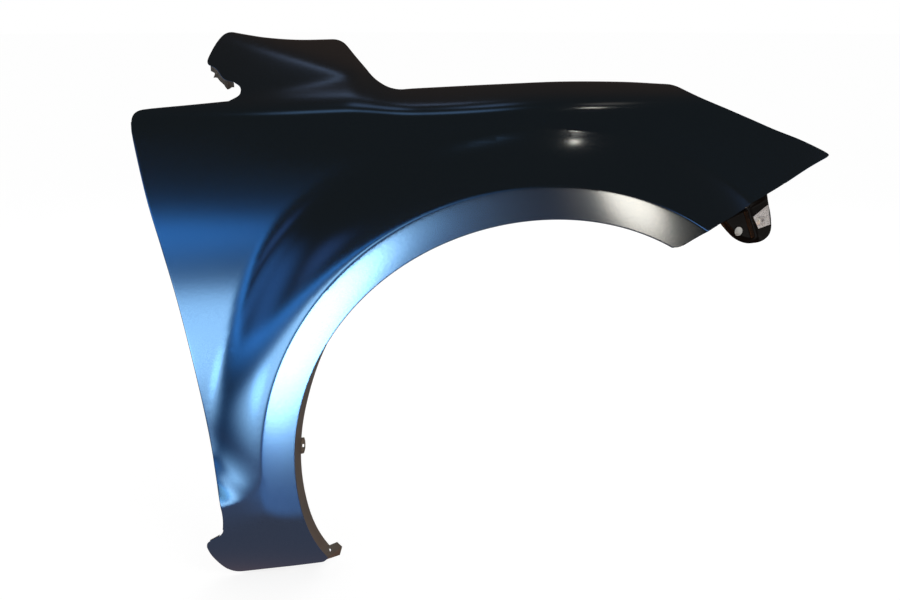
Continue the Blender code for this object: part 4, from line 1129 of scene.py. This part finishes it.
world = bpy.data.worlds.new("studio_room")
bpy.context.scene.world = world
world.use_nodes = True
world.cycles.sampling_method = 'NONE'
path = add_node(world, "ShaderNodeLightPath").outputs
way = add_node(world, "ShaderNodeTexCoord").outputs["Generated"]
way = add_node(world, "ShaderNodeSeparateXYZ", {0: way}).outputs
behind = spanned(world, way["Y"], 0, 1, 0, 0.3)
low = spanned(world, way["Z"], 0, 0.3, 0.5, 0.2)
sweep = combined(world, 'MULTIPLY', behind, low)
mirrored = combined(world, 'MULTIPLY', sweep, path["Is Glossy Ray"])
seen = combined(world, 'MAXIMUM', path["Is Camera Ray"], mirrored)
seen = combined(world, 'MAXIMUM', seen, path["Is Transmission Ray"])
room = mixed(world, path["Is Diffuse Ray"], ROOM, grey(0.6))
set_inputs(world, world.node_tree.nodes["Background"], {"Color": mixed(world, seen, room, grey(1))})


def add_card(name, centre, reach, turn, brightness, colour, plateau=0.3, facing=UP):
    """A soft card that only the paint and metal mirror, fading from its plateau to its rim."""
    bpy.ops.object.select_all(action='DESELECT')
    bpy.ops.mesh.primitive_plane_add(size=2, location=centre)
    card = bpy.context.object
    card.name = name
    card.scale = (*reach, 1)
    spin = Quaternion(UP, math.radians(turn))
    card.rotation_euler = (Vector(facing).to_track_quat('Z', 'Y') @ spin).to_euler()
    glow_card, _, coordinates = new_material(name)
    distance = add_node(glow_card, "ShaderNodeVectorMath", {0: coordinates}, operation='LENGTH')
    fade = spanned(glow_card, distance.outputs["Value"], 0, brightness, 1, plateau,
                   interpolation_type='SMOOTHSTEP')
    light = add_node(glow_card, "ShaderNodeEmission", {"Color": (*colour, 1), "Strength": fade})
    clear = add_node(glow_card, "ShaderNodeBsdfTransparent")
    both = add_node(glow_card, "ShaderNodeAddShader", {0: light, 1: clear})
    set_inputs(glow_card, glow_card.node_tree.nodes["Material Output"], {"Surface": both})
    card.data.materials.append(glow_card)
    card.visible_camera = False
    card.visible_diffuse = False
    card.visible_transmission = False
    card.visible_shadow = False


def on_floor(x, y, layer):
    """A place above the floor; each card has a layer of its own."""
    return (x, y, cad_box[0][2] + CARD_RISE * layer)


PALE = (1.0, 0.73, 0.44)
WARM = (1.0, 0.37, 0.135)
BLUE = (0.25, 0.75, 1.0)
# Name, centre, half sizes, turn in degrees, brightness, colour, plateau and the way it faces
GLOW_CARDS = (
    ("broad_floor_pool", on_floor(-4.6, -10.5, 1), (5.6, 12.5), 0, 1.7, BLUE),
    ("left_floor_pool", on_floor(-0.80, -1.66, 2), (0.85, 1.22), 0, 5.1, PALE, 0.5),
    ("left_pool_halo", on_floor(-0.80, -1.70, 3), (1.10, 1.60), 0, 0.7, BLUE, 0.4),
    ("near_floor_pool", on_floor(-0.137, -0.618, 4), (0.110, 0.086), -35, 23.0, PALE, 0.7),
    ("near_pool_halo", on_floor(-0.170, -0.600, 5), (0.21, 0.17), -35, 1.1, BLUE, 0.4),
    ("warm_floor_pool", on_floor(0.378, -0.660, 6), (0.122, 0.12), -35, 20.0, WARM, 0.5),
    ("warm_pool_halo", on_floor(0.40, -0.70, 7), (0.30, 0.24), -35, 1.6, WARM, 0.3),
    ("right_floor_pool", on_floor(1.80, -1.15, 8), (0.9, 0.6), 0, 1.6, (1.0, 0.97, 0.93)),
    ("sill_floor_glow", on_floor(-0.34, -0.35, 9), (0.18, 0.14), 0, 0.5, (0.5, 0.85, 1.0)),
    ("sill_side_glow", (-0.74, -0.69, -0.52), (0.12, 0.09), 0, 2.4, (0.9, 1.0, 0.75),
     0.4, (0.41, 0.91, -0.02)),
    ("left_wall_glow", (-2.85, -5.4, 0.7), (0.75, 1.2), 0, 0.3, (0.6, 0.75, 1.0),
     0.2, (0.46, 0.88, -0.1)),
    ("far_left_glow", (-3.6, -3.6, 0.3), (1.0, 1.5), 0, 0.5, (0.4, 0.75, 1.0), 0.2, (0.7, 0.7, -0.1)),
    ("roof_glow", (-0.34, -0.44, 2.95), (0.50, 0.50), 0, 0.6, (1.0, 0.8, 0.6), 0.2, (0, 0, -1)),
    ("back_roof_glow", (-0.14, 0.72, 2.88), (0.24, 0.36), 0, 0.5, (1.0, 0.72, 0.55),
     0.3, (0, -0.3, -0.95)),
    ("warm_roof_glow", (1.10, -0.05, 2.92), (0.45, 0.32), 0, 0.8, WARM, 0.3, (-0.3, 0, -0.95)),
    ("back_wall_glow", (-0.38, 1.50, 2.74), (0.38, 0.10), 0, 0.9, (1.0, 0.68, 0.5),
     0.3, (0, -0.48, -0.877)),
    ("warm_bulb", (0.63, -0.63, 1.58), (0.07, 0.07), 0, 42.0, WARM, 0.2, (-0.3, 0.25, -1.0)))
for card in GLOW_CARDS:
    add_card(*card)


def add_lamp(name, place, aim, size, brightness, colour):
    """A soft lamp at a place, turned to the point that it lights; brightness is its face's."""
    lamp = bpy.data.lights.new(name, 'AREA')
    lamp.shape = 'RECTANGLE'
    lamp.size, lamp.size_y = size
    lamp.energy = brightness * math.pi * size[0] * size[1]
    lamp.color = colour
    item = add_object(name, lamp)
    item.location = place
    item.rotation_euler = (Vector(aim) - Vector(place)).to_track_quat('-Z', 'Y').to_euler()
    item.visible_camera = False
    item.visible_glossy = False


add_lamp("front_softbox", (1.2, -2.4, 1.6), (0.1, 0.0, -0.2), (1.6, 1.2), 2.6, (1.0, 1.0, 1.0))
add_lamp("rear_lamp", (0.4, 2.2, 1.2), (0.0, 0.0, -0.2), (2.0, 1.2), 1.5, (1.0, 1.0, 1.0))

# The camera stands before the car's side and looks a little down, as in the photo
CAMERA_PLACE = Vector((-0.1924, -1.4000, 0.6114))
CAMERA_DOWN = 14.85
CAMERA_RIGHT = 2.53
camera = bpy.data.cameras.new("camera")
camera.sensor_width = 36
camera.lens = 43.75
eye = add_object("camera", camera)
eye.location = WHEEL_CENTRE + CAMERA_PLACE
eye.rotation_euler = (math.radians(90 - CAMERA_DOWN), 0, math.radians(-CAMERA_RIGHT))
bpy.context.scene.camera = eye
bpy.context.scene.view_settings.view_transform = 'Standard'
